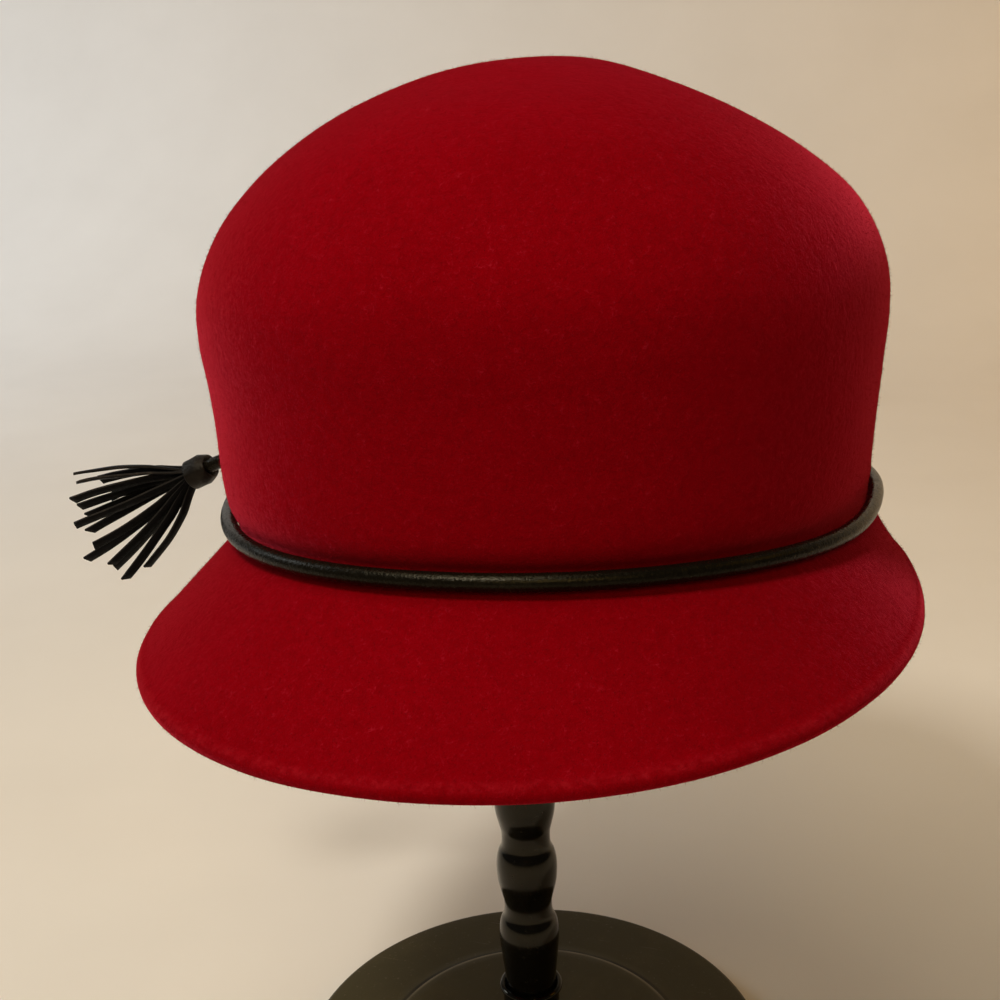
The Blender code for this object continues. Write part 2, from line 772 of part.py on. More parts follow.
    # Leather wrap of the tassel.
    wrap = add_object("tassel_wrap", wrap_mesh("tassel_wrap"), cord_leather, collection)
    shade_smooth(wrap.data)
    wrap.matrix_world = wrap_matrix()

    # Cut strips fused to their rolled root.
    fringe = add_object("tassel_fringe", root_mesh("tassel_fringe"), strip_leather, collection)
    fringe.matrix_world = wrap_matrix()
    tools = []
    for number, row in enumerate(STRIPS):
        name = "strip_%02d" % (number + 1)
        strip = add_object(name, strip_mesh(name, row), strip_leather, cutters)
        strip.matrix_world = wrap_matrix()
        thick = strip.modifiers.new("Thickness", "SOLIDIFY")
        thick.thickness = STRIP_THICKNESS
        thick.offset = 0.0
        solid = evaluated_mesh(strip)
        strip.modifiers.clear()
        strip.data = solid
        strip.hide_render = True
        strip.display_type = "WIRE"
        tools.append(strip)
    for strip in tools:
        fuse = fringe.modifiers.new("Fuse", "BOOLEAN")
        fuse.operation = "UNION"
        fuse.solver = "EXACT"
        fuse.object = strip
    bpy.context.view_layer.update()
    fused = evaluated_mesh(fringe)
    fringe.modifiers.clear()
    fringe.data = fused
    for strip in tools:
        bpy.data.objects.remove(strip, do_unlink=True)
    bpy.data.collections.remove(cutters)


build()
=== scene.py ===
"""A blocked felt cloche hat with a leather cord and a leather tassel, at rest on a turned hat stand.

The file follows the hat as it is put together: the studio, the felt body and its nap, the cord,
the tassel's wrap and strips, and then the stand from its head down to its base. Lengths are in metres.
"""
import math

import bpy
import numpy as np
from mathutils import Matrix, Vector, noise


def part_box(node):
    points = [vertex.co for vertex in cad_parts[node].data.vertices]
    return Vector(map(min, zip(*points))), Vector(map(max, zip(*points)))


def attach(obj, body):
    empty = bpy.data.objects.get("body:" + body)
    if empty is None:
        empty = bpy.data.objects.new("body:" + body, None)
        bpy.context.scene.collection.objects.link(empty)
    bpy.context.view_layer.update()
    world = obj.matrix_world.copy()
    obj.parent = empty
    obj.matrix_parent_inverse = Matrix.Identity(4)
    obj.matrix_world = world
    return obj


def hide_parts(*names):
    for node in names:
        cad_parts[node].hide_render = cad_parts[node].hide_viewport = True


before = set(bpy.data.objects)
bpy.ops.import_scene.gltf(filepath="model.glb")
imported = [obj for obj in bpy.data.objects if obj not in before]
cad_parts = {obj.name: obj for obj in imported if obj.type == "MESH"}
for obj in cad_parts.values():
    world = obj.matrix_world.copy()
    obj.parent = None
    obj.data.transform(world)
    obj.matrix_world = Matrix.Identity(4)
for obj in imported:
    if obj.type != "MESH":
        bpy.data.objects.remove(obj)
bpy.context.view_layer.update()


# Studio. A pale sheet that lies as the floor and sweeps up far behind the hat, a soft lamp high at
# the left, warmer ones overhead and at the right, two for the sheet behind, and a dim pale sky. The
# camera stands a little to the wearer's left of the front and looks slightly down.
bpy.context.scene.view_settings.view_transform = "Standard"

CAMERA_PLACE = (0.1119, -0.3569, 0.3096)
CAMERA_YAW, CAMERA_PITCH, CAMERA_ROLL = 18.0, 72.85, -2.28
CAMERA_LENS, CAMERA_SENSOR, CAMERA_NEAR, CAMERA_FAR = 49.0, 36.0, 0.02, 20.0
FLOOR_HALF_WIDTH, FLOOR_FRONT, FLOOR_BACK = 3.5, -3.5, 1.0
FLOOR_TURN, FLOOR_TURN_STEPS, FLOOR_TOP = 0.6, 16, 2.2
SKY_STRENGTH = 0.12

camera_data = bpy.data.cameras.new("camera")
camera_data.lens, camera_data.sensor_width = CAMERA_LENS, CAMERA_SENSOR
camera_data.clip_start, camera_data.clip_end = CAMERA_NEAR, CAMERA_FAR
camera = bpy.data.objects.new("camera", camera_data)
bpy.context.scene.collection.objects.link(camera)
camera.matrix_world = (
    Matrix.Translation(CAMERA_PLACE)
    @ Matrix.Rotation(math.radians(CAMERA_YAW), 4, "Z")
    @ Matrix.Rotation(math.radians(CAMERA_PITCH), 4, "X")
    @ Matrix.Rotation(math.radians(CAMERA_ROLL), 4, "Z")
)
bpy.context.scene.camera = camera


def new_piece(name, points, faces, materials, places=None, slots=None):
    """A smooth mesh piece; places gives each point its spot on the piece's own map."""
    mesh = bpy.data.meshes.new(name)
    mesh.from_pydata([tuple(p) for p in points], [], faces)
    for material in materials:
        mesh.materials.append(material)
    mesh.polygons.foreach_set("use_smooth", [True] * len(mesh.polygons))
    if slots is not None:
        mesh.polygons.foreach_set("material_index", slots)
    if places is not None:
        chart = mesh.uv_layers.new(name="OFBake")
        chart.data.foreach_set("uv", np.asarray(places, dtype=np.float32).ravel())
    mesh.validate()
    mesh.update()
    piece = bpy.data.objects.new(name, mesh)
    bpy.context.scene.collection.objects.link(piece)
    return piece


def grid_skin(rows, around, closed_round=True):
    """Faces and map places for rows of points that each go once round; the first row is the map's top."""
    faces, places = [], []
    wraps = around if closed_round else around - 1
    for row in range(rows - 1):
        for step in range(wraps):
            after = (step + 1) % around
            upper, lower = row * around, (row + 1) * around
            faces.append((upper + step, lower + step, lower + after, upper + after))
            left, right = step / wraps, (step + 1) / wraps
            top, bottom = 1.0 - row / (rows - 1), 1.0 - (row + 1) / (rows - 1)
            places += [(left, top), (left, bottom), (right, bottom), (right, top)]
    return faces, places


def add_node(tree, kind, settings=None, inputs=None):
    """A shader node with its settings and its unlinked or linked inputs, given by name or number."""
    made = tree.nodes.new(kind)
    for key, value in (settings or {}).items():
        setattr(made, key, value)
    for key, value in (inputs or {}).items():
        socket = made.inputs[key]
        if isinstance(value, bpy.types.NodeSocket):
            tree.links.new(value, socket)
        else:
            socket.default_value = value
    return made


def add_ramp(tree, value, stops):
    """A colour ramp from (place, grey or colour) stops."""
    ramp = add_node(tree, "ShaderNodeValToRGB", inputs={"Fac": value})
    marks = ramp.color_ramp.elements
    while len(marks) < len(stops):
        marks.new(0.5)
    for mark, (place, shade) in zip(marks, stops):
        mark.position = place
        mark.color = (*shade, 1.0) if isinstance(shade, tuple) else (shade, shade, shade, 1.0)
    return ramp.outputs["Color"]


def add_math(tree, operation, first, second=0.5):
    """A sum on one or two numbers or sockets."""
    return add_node(tree, "ShaderNodeMath", {"operation": operation}, {0: first, 1: second}).outputs[0]


def new_material(name, settings):
    """A material with a Principled shader that has these plain values."""
    material = bpy.data.materials.new(name)
    material.use_nodes = True
    shader = material.node_tree.nodes["Principled BSDF"]
    for key, value in settings.items():
        shader.inputs[key].default_value = value
    return material, material.node_tree, shader


floor_finish, floor_tree, floor_shader = new_material("pale_floor", {"Specular IOR Level": 0.2})
floor_spots = add_node(floor_tree, "ShaderNodeTexNoise", inputs={
    "Vector": add_node(floor_tree, "ShaderNodeTexCoord").outputs["Object"], "Scale": 9.0, "Detail": 4.0,
}).outputs["Fac"]
floor_tree.links.new(
    add_ramp(floor_tree, floor_spots, [(0.3, (0.82, 0.77, 0.725)), (0.7, (0.85, 0.80, 0.755))]),
    floor_shader.inputs["Base Color"],
)
floor_tree.links.new(
    add_ramp(floor_tree, floor_spots, [(0.3, 0.70), (0.7, 0.80)]), floor_shader.inputs["Roughness"],
)
floor_tree.links.new(
    add_node(floor_tree, "ShaderNodeBump", inputs={
        "Strength": 0.15, "Distance": 0.001, "Height": floor_spots,
    }).outputs["Normal"],
    floor_shader.inputs["Normal"],
)
floor_line = [(FLOOR_FRONT, 0.0), (FLOOR_BACK, 0.0)]
for i in range(1, FLOOR_TURN_STEPS + 1):
    bearing = 0.5 * math.pi * i / FLOOR_TURN_STEPS
    floor_line.append((
        FLOOR_BACK + FLOOR_TURN * math.sin(bearing), FLOOR_TURN * (1 - math.cos(bearing)),
    ))
floor_line.append((FLOOR_BACK + FLOOR_TURN, FLOOR_TOP))
floor_points = [(x, y, z) for y, z in floor_line for x in (FLOOR_HALF_WIDTH, -FLOOR_HALF_WIDTH)]
floor_faces, floor_places = grid_skin(len(floor_line), 2, False)
floor = new_piece("floor", floor_points, floor_faces, [floor_finish], floor_places)

sky = bpy.data.worlds.new("soft_sky")
bpy.context.scene.world = sky
sky.use_nodes = True
sky_tree = sky.node_tree
sky_side = add_node(sky_tree, "ShaderNodeSeparateXYZ", inputs={
    0: add_node(sky_tree, "ShaderNodeTexCoord").outputs["Generated"],
}).outputs["X"]
sky_tint = add_ramp(sky_tree, add_math(sky_tree, "MULTIPLY_ADD", sky_side, 0.5), [
    (0.0, (0.80, 0.80, 0.80)), (0.55, (0.62, 0.60, 0.56)), (1.0, (0.52, 0.45, 0.36)),
])
sky_tree.links.new(sky_tint, sky_tree.nodes["Background"].inputs["Color"])
sky_tree.nodes["Background"].inputs["Strength"].default_value = SKY_STRENGTH


def soft_lamp(name, place, aim, size, power, colour, spread=180):
    """A round soft lamp that points at aim and opens to spread degrees."""
    lamp = bpy.data.lights.new(name, "AREA")
    lamp.shape, lamp.size, lamp.energy, lamp.color = "DISK", size, power, colour
    lamp.spread = math.radians(spread)
    held = bpy.data.objects.new(name, lamp)
    bpy.context.scene.collection.objects.link(held)
    held.location = place
    held.rotation_mode = "QUATERNION"
    held.rotation_quaternion = (Vector(aim) - Vector(place)).to_track_quat("-Z", "Y")


soft_lamp("lamp_key", (-0.25, -0.64, 1.24), (0.0, 0.0, 0.20), 0.26, 8.2, (1.0, 0.94, 0.80))
soft_lamp("lamp_ceiling", (-0.17, -0.06, 1.05), (0.0, 0.0, 0.20), 0.6, 2.6, (1.0, 0.84, 0.58))
soft_lamp("lamp_front_right", (0.40, -1.20, 1.10), (0.0, 0.0, 0.22), 0.6, 3.9, (1.0, 0.72, 0.27))
soft_lamp("lamp_wall_left", (-1.90, 0.20, 1.10), (-1.00, 1.10, 0.10), 0.8, 7.8, (0.86, 0.94, 1.0), 110)
soft_lamp("lamp_wall_right", (1.25, 0.45, 0.95), (0.15, 1.30, 0.10), 0.7, 2.6, (1.0, 0.50, 0.0), 110)


# Felt body. One cone of wool felt, steamed and blocked over an oval block into a full crown with a
# shallow dent high on the wearer's left, and a short brim turned down all round. The brim's edge is
# turned under and pressed, which leaves a soft ridge along it.
FELT = 0.0021
CROWN_HALF_LENGTH, CROWN_HALF_WIDTH, CROWN_HEIGHT, CROWN_SQUARENESS = 0.0988, 0.0851, 0.1216, 2.15
BEND_RADIUS = 0.0070
BRIM_FRONT, BRIM_SIDE, BRIM_BACK = 0.0516, 0.0270, 0.0228
BRIM_FRONT_SLOPE, BRIM_SIDE_SLOPE, BRIM_BACK_SLOPE = (math.radians(a) for a in (40, 51, 71))
HEM_WIDTH, HEM_STEP, HEM_HALF = 0.0090, 0.0010, FELT
HEM_RIDGE, HEM_RIDGE_HEIGHT, HEM_RIDGE_SPREAD = 0.0034, 0.00035, 0.0011
HEM_STEP_SHARES = (0.15, 0.45, 0.8)
# Row and reach of the painted highlight: paler felt along the hem ridge where the ridge catches the light.
HEM_HIGHLIGHT_ROW, HEM_HIGHLIGHT_ROWS = 2.4, 2.6
DENT_DEPTH, DENT_ANGLE, DENT_RADIUS, DENT_SPREAD = 0.0046, math.radians(101), 0.0473, 0.0276
UNDULATION, UNDULATION_SIZE, UNDULATION_CENTRE = 0.00055, 0.055, 0.035
CALM_LEVEL, CALM_HALF_HEIGHT, CALM_FADE = 0.004, 0.006, 0.020
FULL_DEPTH, FULL_ANGLE, FULL_SPREAD, FULL_LEVEL, FULL_HEIGHT = 0.0038, 114, 20, 0.0025, 0.0080
FELT_RING_STEPS, CROWN_STEPS, BEND_STEPS, BRIM_STEPS, HEM_STEPS, EDGE_STEPS = 256, 5, 9, 14, 12, 10
CROWN_FOOT_STEER = 0.006
# Height, half length and half width of the crown at each section, as shares of its own.
CROWN_SECTIONS = (
    (0.990, 0.200, 0.185), (0.965, 0.371, 0.359), (0.920, 0.518, 0.536), (0.860, 0.674, 0.699),
    (0.780, 0.818, 0.854), (0.690, 0.919, 0.976), (0.600, 0.995, 1.048), (0.510, 1.042, 1.083),
    (0.420, 1.050, 1.084), (0.330, 1.039, 1.068), (0.230, 1.033, 1.053), (0.130, 1.034, 1.039),
    (0.070, 1.028, 1.022),
)
HAT_SPOT, HAT_PITCH, HAT_ROLL = (0.0107, 0.0069, 0.1932), -5.4, -1.8
HAT_PLACE = (
    Matrix.Translation(HAT_SPOT)
    @ Matrix.Rotation(math.radians(HAT_PITCH), 4, "X")
    @ Matrix.Rotation(math.radians(HAT_ROLL), 4, "Y")
)


def smooth_through(points, between):
    """Catmull-Rom curve through points; the first and last only steer it."""
    curve = []
    for before, start, end, after in zip(points, points[1:], points[2:], points[3:]):
        before, start, end, after = (np.array(p, dtype=float) for p in (before, start, end, after))
        for i in range(between):
            t = i / between
            curve.append(0.5 * (
                2 * start
                + (end - before) * t
                + (2 * before - 5 * start + 4 * end - after) * t**2
                + (3 * start - before - 3 * end + after) * t**3
            ))
    curve.append(np.array(points[-2], dtype=float))
    return curve


def round_hat(angle, radius, height):
    """A point of the hat before it is set on the stand; angle 0 is the front."""
    return Vector((radius * math.sin(angle), -radius * math.cos(angle), height))


def oval(angle, half_length, half_width):
    """Radius of the hat's oval at an angle, a little squarer than an ellipse."""
    across = abs(math.sin(angle) / half_width) ** CROWN_SQUARENESS
    along = abs(math.cos(angle) / half_length) ** CROWN_SQUARENESS
    return (across + along) ** (-1.0 / CROWN_SQUARENESS)


def front_to_back(front, side, back, angle):
    """A size that goes evenly round the hat from its front through its sides to its back."""
    forward = math.cos(angle)
    return side + 0.5 * (front - back) * forward + (0.5 * (front + back) - side) * forward**2


def bend_point(angle, share):
    """Outside of the felt in the bend between crown and brim, from its top (0) to its end (1)."""
    slope = front_to_back(BRIM_FRONT_SLOPE, BRIM_SIDE_SLOPE, BRIM_BACK_SLOPE, angle)
    turn = 0.5 * math.pi - slope
    return (
        oval(angle, CROWN_HALF_LENGTH, CROWN_HALF_WIDTH) + BEND_RADIUS * (1 - math.cos(turn * share)),
        BEND_RADIUS * (math.tan(0.5 * turn) - math.sin(turn * share)),
    )


def felt_outside(angle):
    """Outside of the felt at one angle, from the crown's middle to where the edge starts to round."""
    crown = []
    for height, length, width in CROWN_SECTIONS:
        radius = oval(angle, length * CROWN_HALF_LENGTH, width * CROWN_HALF_WIDTH)
        crown.append((radius, height * CROWN_HEIGHT))
    top, foot = bend_point(angle, 0.0), bend_point(angle, 1.0)
    steer = (-crown[0][0], crown[0][1])
    middle = (0.0, CROWN_HEIGHT)
    rows = smooth_through(
        [steer, middle, *crown, top, (top[0], top[1] - CROWN_FOOT_STEER)], CROWN_STEPS)
    rows += [np.array(bend_point(angle, i / BEND_STEPS)) for i in range(1, BEND_STEPS + 1)]
    slope = front_to_back(BRIM_FRONT_SLOPE, BRIM_SIDE_SLOPE, BRIM_BACK_SLOPE, angle)
    reach = front_to_back(BRIM_FRONT, BRIM_SIDE, BRIM_BACK, angle)
    straight = reach - BEND_RADIUS * math.tan(0.5 * (0.5 * math.pi - slope)) - HEM_HALF
    hem_start = straight + HEM_HALF - HEM_WIDTH
    outward, upward = math.cos(slope), math.sin(slope)
    step_rows = len(HEM_STEP_SHARES)
    distances = [hem_start * i / BRIM_STEPS for i in range(1, BRIM_STEPS)]
    distances += [hem_start - HEM_STEP * (1 - i / step_rows) for i in range(step_rows)]
    distances += [hem_start + (straight - hem_start) * i / HEM_STEPS for i in range(HEM_STEPS + 1)]
    for distance in distances:
        from_edge = straight + HEM_HALF - distance
        ridge = HEM_RIDGE_HEIGHT * math.exp(-((from_edge - HEM_RIDGE) / HEM_RIDGE_SPREAD) ** 2)
        rows.append(np.array((
            foot[0] + distance * outward + ridge * upward,
            foot[1] - distance * upward + ridge * outward,
        )))
    return rows


def felt_wall(angle):
    """The whole wall of the felt at one angle: down the outside, round the edge and up the inside."""
    line = np.array(felt_outside(angle))
    run = np.gradient(line, axis=0)
    run[0] = (1.0, 0.0)
    normals = np.stack([-run[:, 1], run[:, 0]], 1)
    normals /= np.linalg.norm(normals, axis=1)[:, None]
    along = line[:, 0] * math.cos(angle - DENT_ANGLE) - DENT_RADIUS
    across = line[:, 0] * math.sin(angle - DENT_ANGLE)
    depth = DENT_DEPTH * np.exp(-(np.hypot(along, across) / DENT_SPREAD) ** 4)
    depth[line[:, 1] < 0.5 * CROWN_HEIGHT] = 0.0
    outside = line - depth[:, None] * normals
    last = normals[-1]
    forward = np.array((last[1], -last[0]))
    centre = outside[-1] - HEM_HALF * last
    edge = [
        centre + HEM_HALF * (math.cos(b) * last + math.sin(b) * forward)
        for b in (math.pi * i / EDGE_STEPS for i in range(1, EDGE_STEPS))
    ]
    wall = np.full(len(line), FELT)
    hem = HEM_STEPS + 1
    wall[-hem:] = 2 * HEM_HALF
    wall[-hem - len(HEM_STEP_SHARES):-hem] = FELT + (2 * HEM_HALF - FELT) * np.array(HEM_STEP_SHARES)
    inside = outside - wall[:, None] * normals
    return np.vstack([outside, edge, inside[::-1]])


def settle_felt(point):
    """The faint unevenness of hand-blocked felt, none where the cord lies, and its fuller bend a little
    behind the wearer's left, next to where the cord is slack."""
    away = abs(point.z - CALM_LEVEL) + 0.3 * max(0.0, -point.z)
    calm = min(1.0, max(0.0, (away - CALM_HALF_HEIGHT) / CALM_FADE))
    lift = noise.noise(point / UNDULATION_SIZE + Vector((3.1, 0.4, 7.7)))
    lift += 0.4 * noise.noise(point / (0.4 * UNDULATION_SIZE))
    direction = (point - Vector((0.0, 0.0, UNDULATION_CENTRE))).normalized()
    if point.z < 0.0:
        direction = Vector((0.35 * direction.x, 0.35 * direction.y, 0.9))
    around = math.degrees(math.atan2(point.x, -point.y))
    fullness = math.exp(-(((around - FULL_ANGLE + 180) % 360 - 180) / FULL_SPREAD) ** 2)
    fullness *= math.exp(-((point.z - FULL_LEVEL) / FULL_HEIGHT) ** 2)
    outward = Vector((point.x, point.y, 0.0)).normalized()
    return point + UNDULATION * calm * lift * direction + FULL_DEPTH * fullness * outward


felt_walls = [felt_wall(2 * math.pi * i / FELT_RING_STEPS) for i in range(FELT_RING_STEPS)]
felt_rows = len(felt_walls[0])
edge_rows = EDGE_STEPS - 1
felt_outer_rows = (felt_rows - edge_rows) // 2 + edge_rows
felt_points = []
for row in range(felt_rows):
    for i, wall in enumerate(felt_walls):
        spot = settle_felt(round_hat(2 * math.pi * i / FELT_RING_STEPS, *wall[row]))
        felt_points.append(HAT_PLACE @ spot)
felt_faces, felt_places = grid_skin(felt_rows, FELT_RING_STEPS)


def add_mix(tree, factor, first, second, blend="MIX"):
    """A colour mix; colours may be sockets or plain colours."""
    return add_node(
        tree, "ShaderNodeMix", {"data_type": "RGBA", "blend_type": blend},
        {0: factor, 6: first, 7: second},
    ).outputs[2]


def new_group(name, colours, numbers):
    """A shared effect that takes these colours and numbers and gives a colour, roughness and height."""
    tree = bpy.data.node_groups.new(name, "ShaderNodeTree")
    sockets = [(colour, "INPUT", "NodeSocketColor") for colour in colours]
    sockets += [(number, "INPUT", "NodeSocketFloat") for number in numbers]
    sockets += [("Color", "OUTPUT", "NodeSocketColor"), ("Roughness", "OUTPUT", "NodeSocketFloat"),
                ("Height", "OUTPUT", "NodeSocketFloat")]
    for socket, way, kind in sockets:
        tree.interface.new_socket(socket, in_out=way, socket_type=kind)
    given, result = tree.nodes.new("NodeGroupInput"), tree.nodes.new("NodeGroupOutput")
    return tree, given, result, add_node(tree, "ShaderNodeTexCoord").outputs["Object"]


def felt_colour_group():
    """Colour, roughness and relief of pressed wool: soft clouds, mottling and paler stray fibres."""
    tree, given, result, where = new_group(
        "pressed_wool", ("Dye", "Pale Fibre", "Dark Fibre"), ("Fleck Share",))
    clouds = add_node(tree, "ShaderNodeTexNoise", inputs={
        "Vector": where, "Scale": 28.0, "Detail": 3.0, "Roughness": 0.55}).outputs["Fac"]
    mottle = add_node(tree, "ShaderNodeTexNoise", inputs={
        "Vector": where, "Scale": 420.0, "Detail": 4.0, "Roughness": 0.62, "Distortion": 0.6}).outputs["Fac"]
    strands = add_node(tree, "ShaderNodeTexNoise", inputs={
        "Vector": where, "Scale": 950.0, "Detail": 3.0, "Roughness": 0.7, "Distortion": 3.0}).outputs["Fac"]
    hairs = add_node(tree, "ShaderNodeTexVoronoi", {"feature": "DISTANCE_TO_EDGE"}, {
        "Vector": add_mix(tree, 0.012, where, add_node(tree, "ShaderNodeTexNoise", inputs={
            "Vector": where, "Scale": 300.0, "Detail": 2.0}).outputs["Color"], "ADD"),
        "Scale": 230.0}).outputs["Distance"]
    hair_line = add_ramp(tree, hairs, [(0.0, 1.0), (0.045, 0.0)])
    base = add_mix(tree, add_ramp(tree, clouds, [(0.35, 0.0), (0.65, 0.35)]), given.outputs["Dye"],
                   given.outputs["Dark Fibre"])
    base = add_mix(tree, add_ramp(tree, mottle, [(0.40, 0.45), (0.52, 0.0)]), base,
                   given.outputs["Dark Fibre"])
    flecks = add_math(tree, "MULTIPLY", add_ramp(tree, strands, [(0.56, 0.0), (0.74, 1.0)]),
                      given.outputs["Fleck Share"])
    base = add_mix(tree, flecks, base, given.outputs["Pale Fibre"])
    stray = add_math(tree, "MULTIPLY", hair_line, add_ramp(tree, mottle, [(0.55, 0.0), (0.66, 1.0)]))
    base = add_mix(tree, add_math(tree, "MULTIPLY", stray, given.outputs["Fleck Share"]), base,
                   given.outputs["Pale Fibre"])
    tree.links.new(base, result.inputs["Color"])
    tree.links.new(add_ramp(tree, mottle, [(0.3, 0.88), (0.7, 1.0)]), result.inputs["Roughness"])
    height = add_math(tree, "ADD", add_math(tree, "MULTIPLY", mottle, 0.7),
                      add_math(tree, "MULTIPLY", strands, 0.35))
    tree.links.new(height, result.inputs["Height"])
    return tree


def use_group(tree, shader, group, inputs, bump_strength, bump_distance):
    """Places a shared effect in a material: its colour and roughness, and its height through a bump."""
    placed = add_node(tree, "ShaderNodeGroup", {"node_tree": group}, inputs)
    tree.links.new(placed.outputs["Color"], shader.inputs["Base Color"])
    tree.links.new(placed.outputs["Roughness"], shader.inputs["Roughness"])
    tree.links.new(
        add_node(tree, "ShaderNodeBump", inputs={
            "Strength": bump_strength, "Distance": bump_distance, "Height": placed.outputs["Height"],
        }).outputs["Normal"],
        shader.inputs["Normal"],
    )
    return placed


pressed_wool = felt_colour_group()
red_felt, felt_tree, felt_shader = new_material("red_felt", {
    "Specular IOR Level": 0.0, "Sheen Weight": 0.62, "Sheen Roughness": 0.35,
    "Sheen Tint": (1.0, 0.065, 0.13, 1.0),
})
felt_wool = use_group(felt_tree, felt_shader, pressed_wool, {
    "Dye": (0.214, 0.0003, 0.0034, 1.0), "Pale Fibre": (0.36, 0.012, 0.026, 1.0),
    "Dark Fibre": (0.166, 0.0003, 0.0024, 1.0), "Fleck Share": 0.50,
}, 0.80, 0.0005)
# Painted highlight: a band of paler felt along the hem ridge, where the ridge catches the light, broken up
# by a fine noise.
hem_highlight_spot = 1.0 - (felt_outer_rows - edge_rows - HEM_HIGHLIGHT_ROW) / (felt_rows - 1)
hem_highlight_reach = HEM_HIGHLIGHT_ROWS / (felt_rows - 1)
down_felt = add_node(felt_tree, "ShaderNodeSeparateXYZ", inputs={
    0: add_node(felt_tree, "ShaderNodeUVMap", {"uv_map": "OFBake"}).outputs["UV"],
}).outputs["Y"]
hem_painted_highlight = add_math(
    felt_tree, "MULTIPLY",
    add_ramp(felt_tree, down_felt, [
        (hem_highlight_spot - hem_highlight_reach, 0.0), (hem_highlight_spot - 0.4 * hem_highlight_reach, 1.0),
        (hem_highlight_spot + 0.3 * hem_highlight_reach, 1.0), (hem_highlight_spot + 1.2 * hem_highlight_reach, 0.0),
    ]),
    add_ramp(felt_tree, add_node(felt_tree, "ShaderNodeTexNoise", inputs={
        "Vector": add_node(felt_tree, "ShaderNodeTexCoord").outputs["Object"], "Scale": 520.0, "Detail": 4.0,
        "Roughness": 0.7,
    }).outputs["Fac"], [(0.42, 0.04), (0.66, 0.42)]),
)
# Mix the painted highlight's paler felt into the wool's colour along the hem.
felt_tree.links.new(
    add_mix(felt_tree, hem_painted_highlight, felt_wool.outputs["Color"], (0.36, 0.010, 0.018, 1.0)),
    felt_shader.inputs["Base Color"],
)
felt_body = new_piece("felt_shell", felt_points, felt_faces, [red_felt], felt_places)
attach(felt_body, "root")
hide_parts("felt_body")


# Nap. Short wool fibres that stand out of the pressed surface and blur the hat's outline: each is a
# thin closed spike, leaning every way, rooted just under the skin of the felt. One piece is on the
# crown and one on the brim.
CROWN_NAP_COUNT, BRIM_NAP_COUNT, CROWN_NAP_SEED, BRIM_NAP_SEED = 49000, 26000, 7, 8
NAP_SHORTEST, NAP_LONGEST, NAP_THICKNESS, NAP_ROOT_DEPTH = 0.00040, 0.00125, 0.000075, 0.00008
NAP_LEAST_RISE, NAP_MORE_RISE, NAP_LEAN = 0.35, 0.5, 0.55

nap_wool, nap_tree, nap_shader = new_material("nap_wool", {
    "Specular IOR Level": 0.0, "Sheen Weight": 0.10, "Sheen Roughness": 0.5,
    "Sheen Tint": (1.0, 0.2, 0.2, 1.0),
})
use_group(nap_tree, nap_shader, pressed_wool, {
    "Dye": (0.26, 0.0015, 0.006, 1.0), "Pale Fibre": (0.42, 0.026, 0.042, 1.0),
    "Dark Fibre": (0.19, 0.001, 0.004, 1.0), "Fleck Share": 0.45,
}, 0.2, 0.0001)


def grow_nap(name, skin, count, seed):
    """A piece of nap: count spikes spread evenly over a skin of felt rows."""
    dice = np.random.default_rng(seed)
    corner = skin[:-1]
    down_side = skin[1:] - corner
    round_side = np.roll(skin, -1, axis=1)[:-1] - corner
    normal = np.cross(down_side, round_side)
    area = np.linalg.norm(normal, axis=2)
    picked = dice.choice(area.size, count, p=(area / area.sum()).ravel())
    shift = dice.random((count, 2))
    corner, down_side, round_side, normal = (
        a.reshape(-1, 3)[picked] for a in (corner, down_side, round_side, normal))
    normal = normal / np.linalg.norm(normal, axis=1)[:, None]
    roots = corner + down_side * shift[:, :1] + round_side * shift[:, 1:] - NAP_ROOT_DEPTH * normal
    lean = dice.normal(size=(count, 3))
    lean -= (lean * normal).sum(1)[:, None] * normal
    growth = normal * (NAP_LEAST_RISE + NAP_MORE_RISE * dice.random((count, 1))) + NAP_LEAN * lean
    growth /= np.linalg.norm(growth, axis=1)[:, None]
    length = NAP_SHORTEST + (NAP_LONGEST - NAP_SHORTEST) * dice.random((count, 1)) ** 2
    aside = np.cross(growth, dice.normal(size=(count, 3)))
    aside *= 0.5 * NAP_THICKNESS / np.linalg.norm(aside, axis=1)[:, None]
    askew = np.cross(growth, aside)
    points = np.stack([
        roots + aside, roots - 0.5 * aside + 0.87 * askew, roots - 0.5 * aside - 0.87 * askew,
        roots + growth * length,
    ], 1).reshape(-1, 3)
    faces, places = [], []
    cells = math.ceil(math.sqrt(count))
    for i in range(count):
        first = 4 * i
        faces += [(first, first + 1, first + 3), (first + 1, first + 2, first + 3),
                  (first + 2, first, first + 3), (first, first + 2, first + 1)]
        left, low, size = (i % cells) / cells, (i // cells) / cells, 0.9 / cells
        places += [(left, low), (left + size, low), (left + 0.5 * size, low + size)] * 4
    piece = new_piece(name, points, faces, [nap_wool], places)
    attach(piece, "root")


felt_skin = np.array(felt_points, dtype=float).reshape(felt_rows, FELT_RING_STEPS, 3)[:felt_outer_rows]
crown_rows = CROWN_STEPS * (len(CROWN_SECTIONS) + 1)
grow_nap("crown_nap", felt_skin[:crown_rows], CROWN_NAP_COUNT, CROWN_NAP_SEED)
grow_nap("brim_nap", felt_skin[crown_rows:], BRIM_NAP_COUNT, BRIM_NAP_SEED)


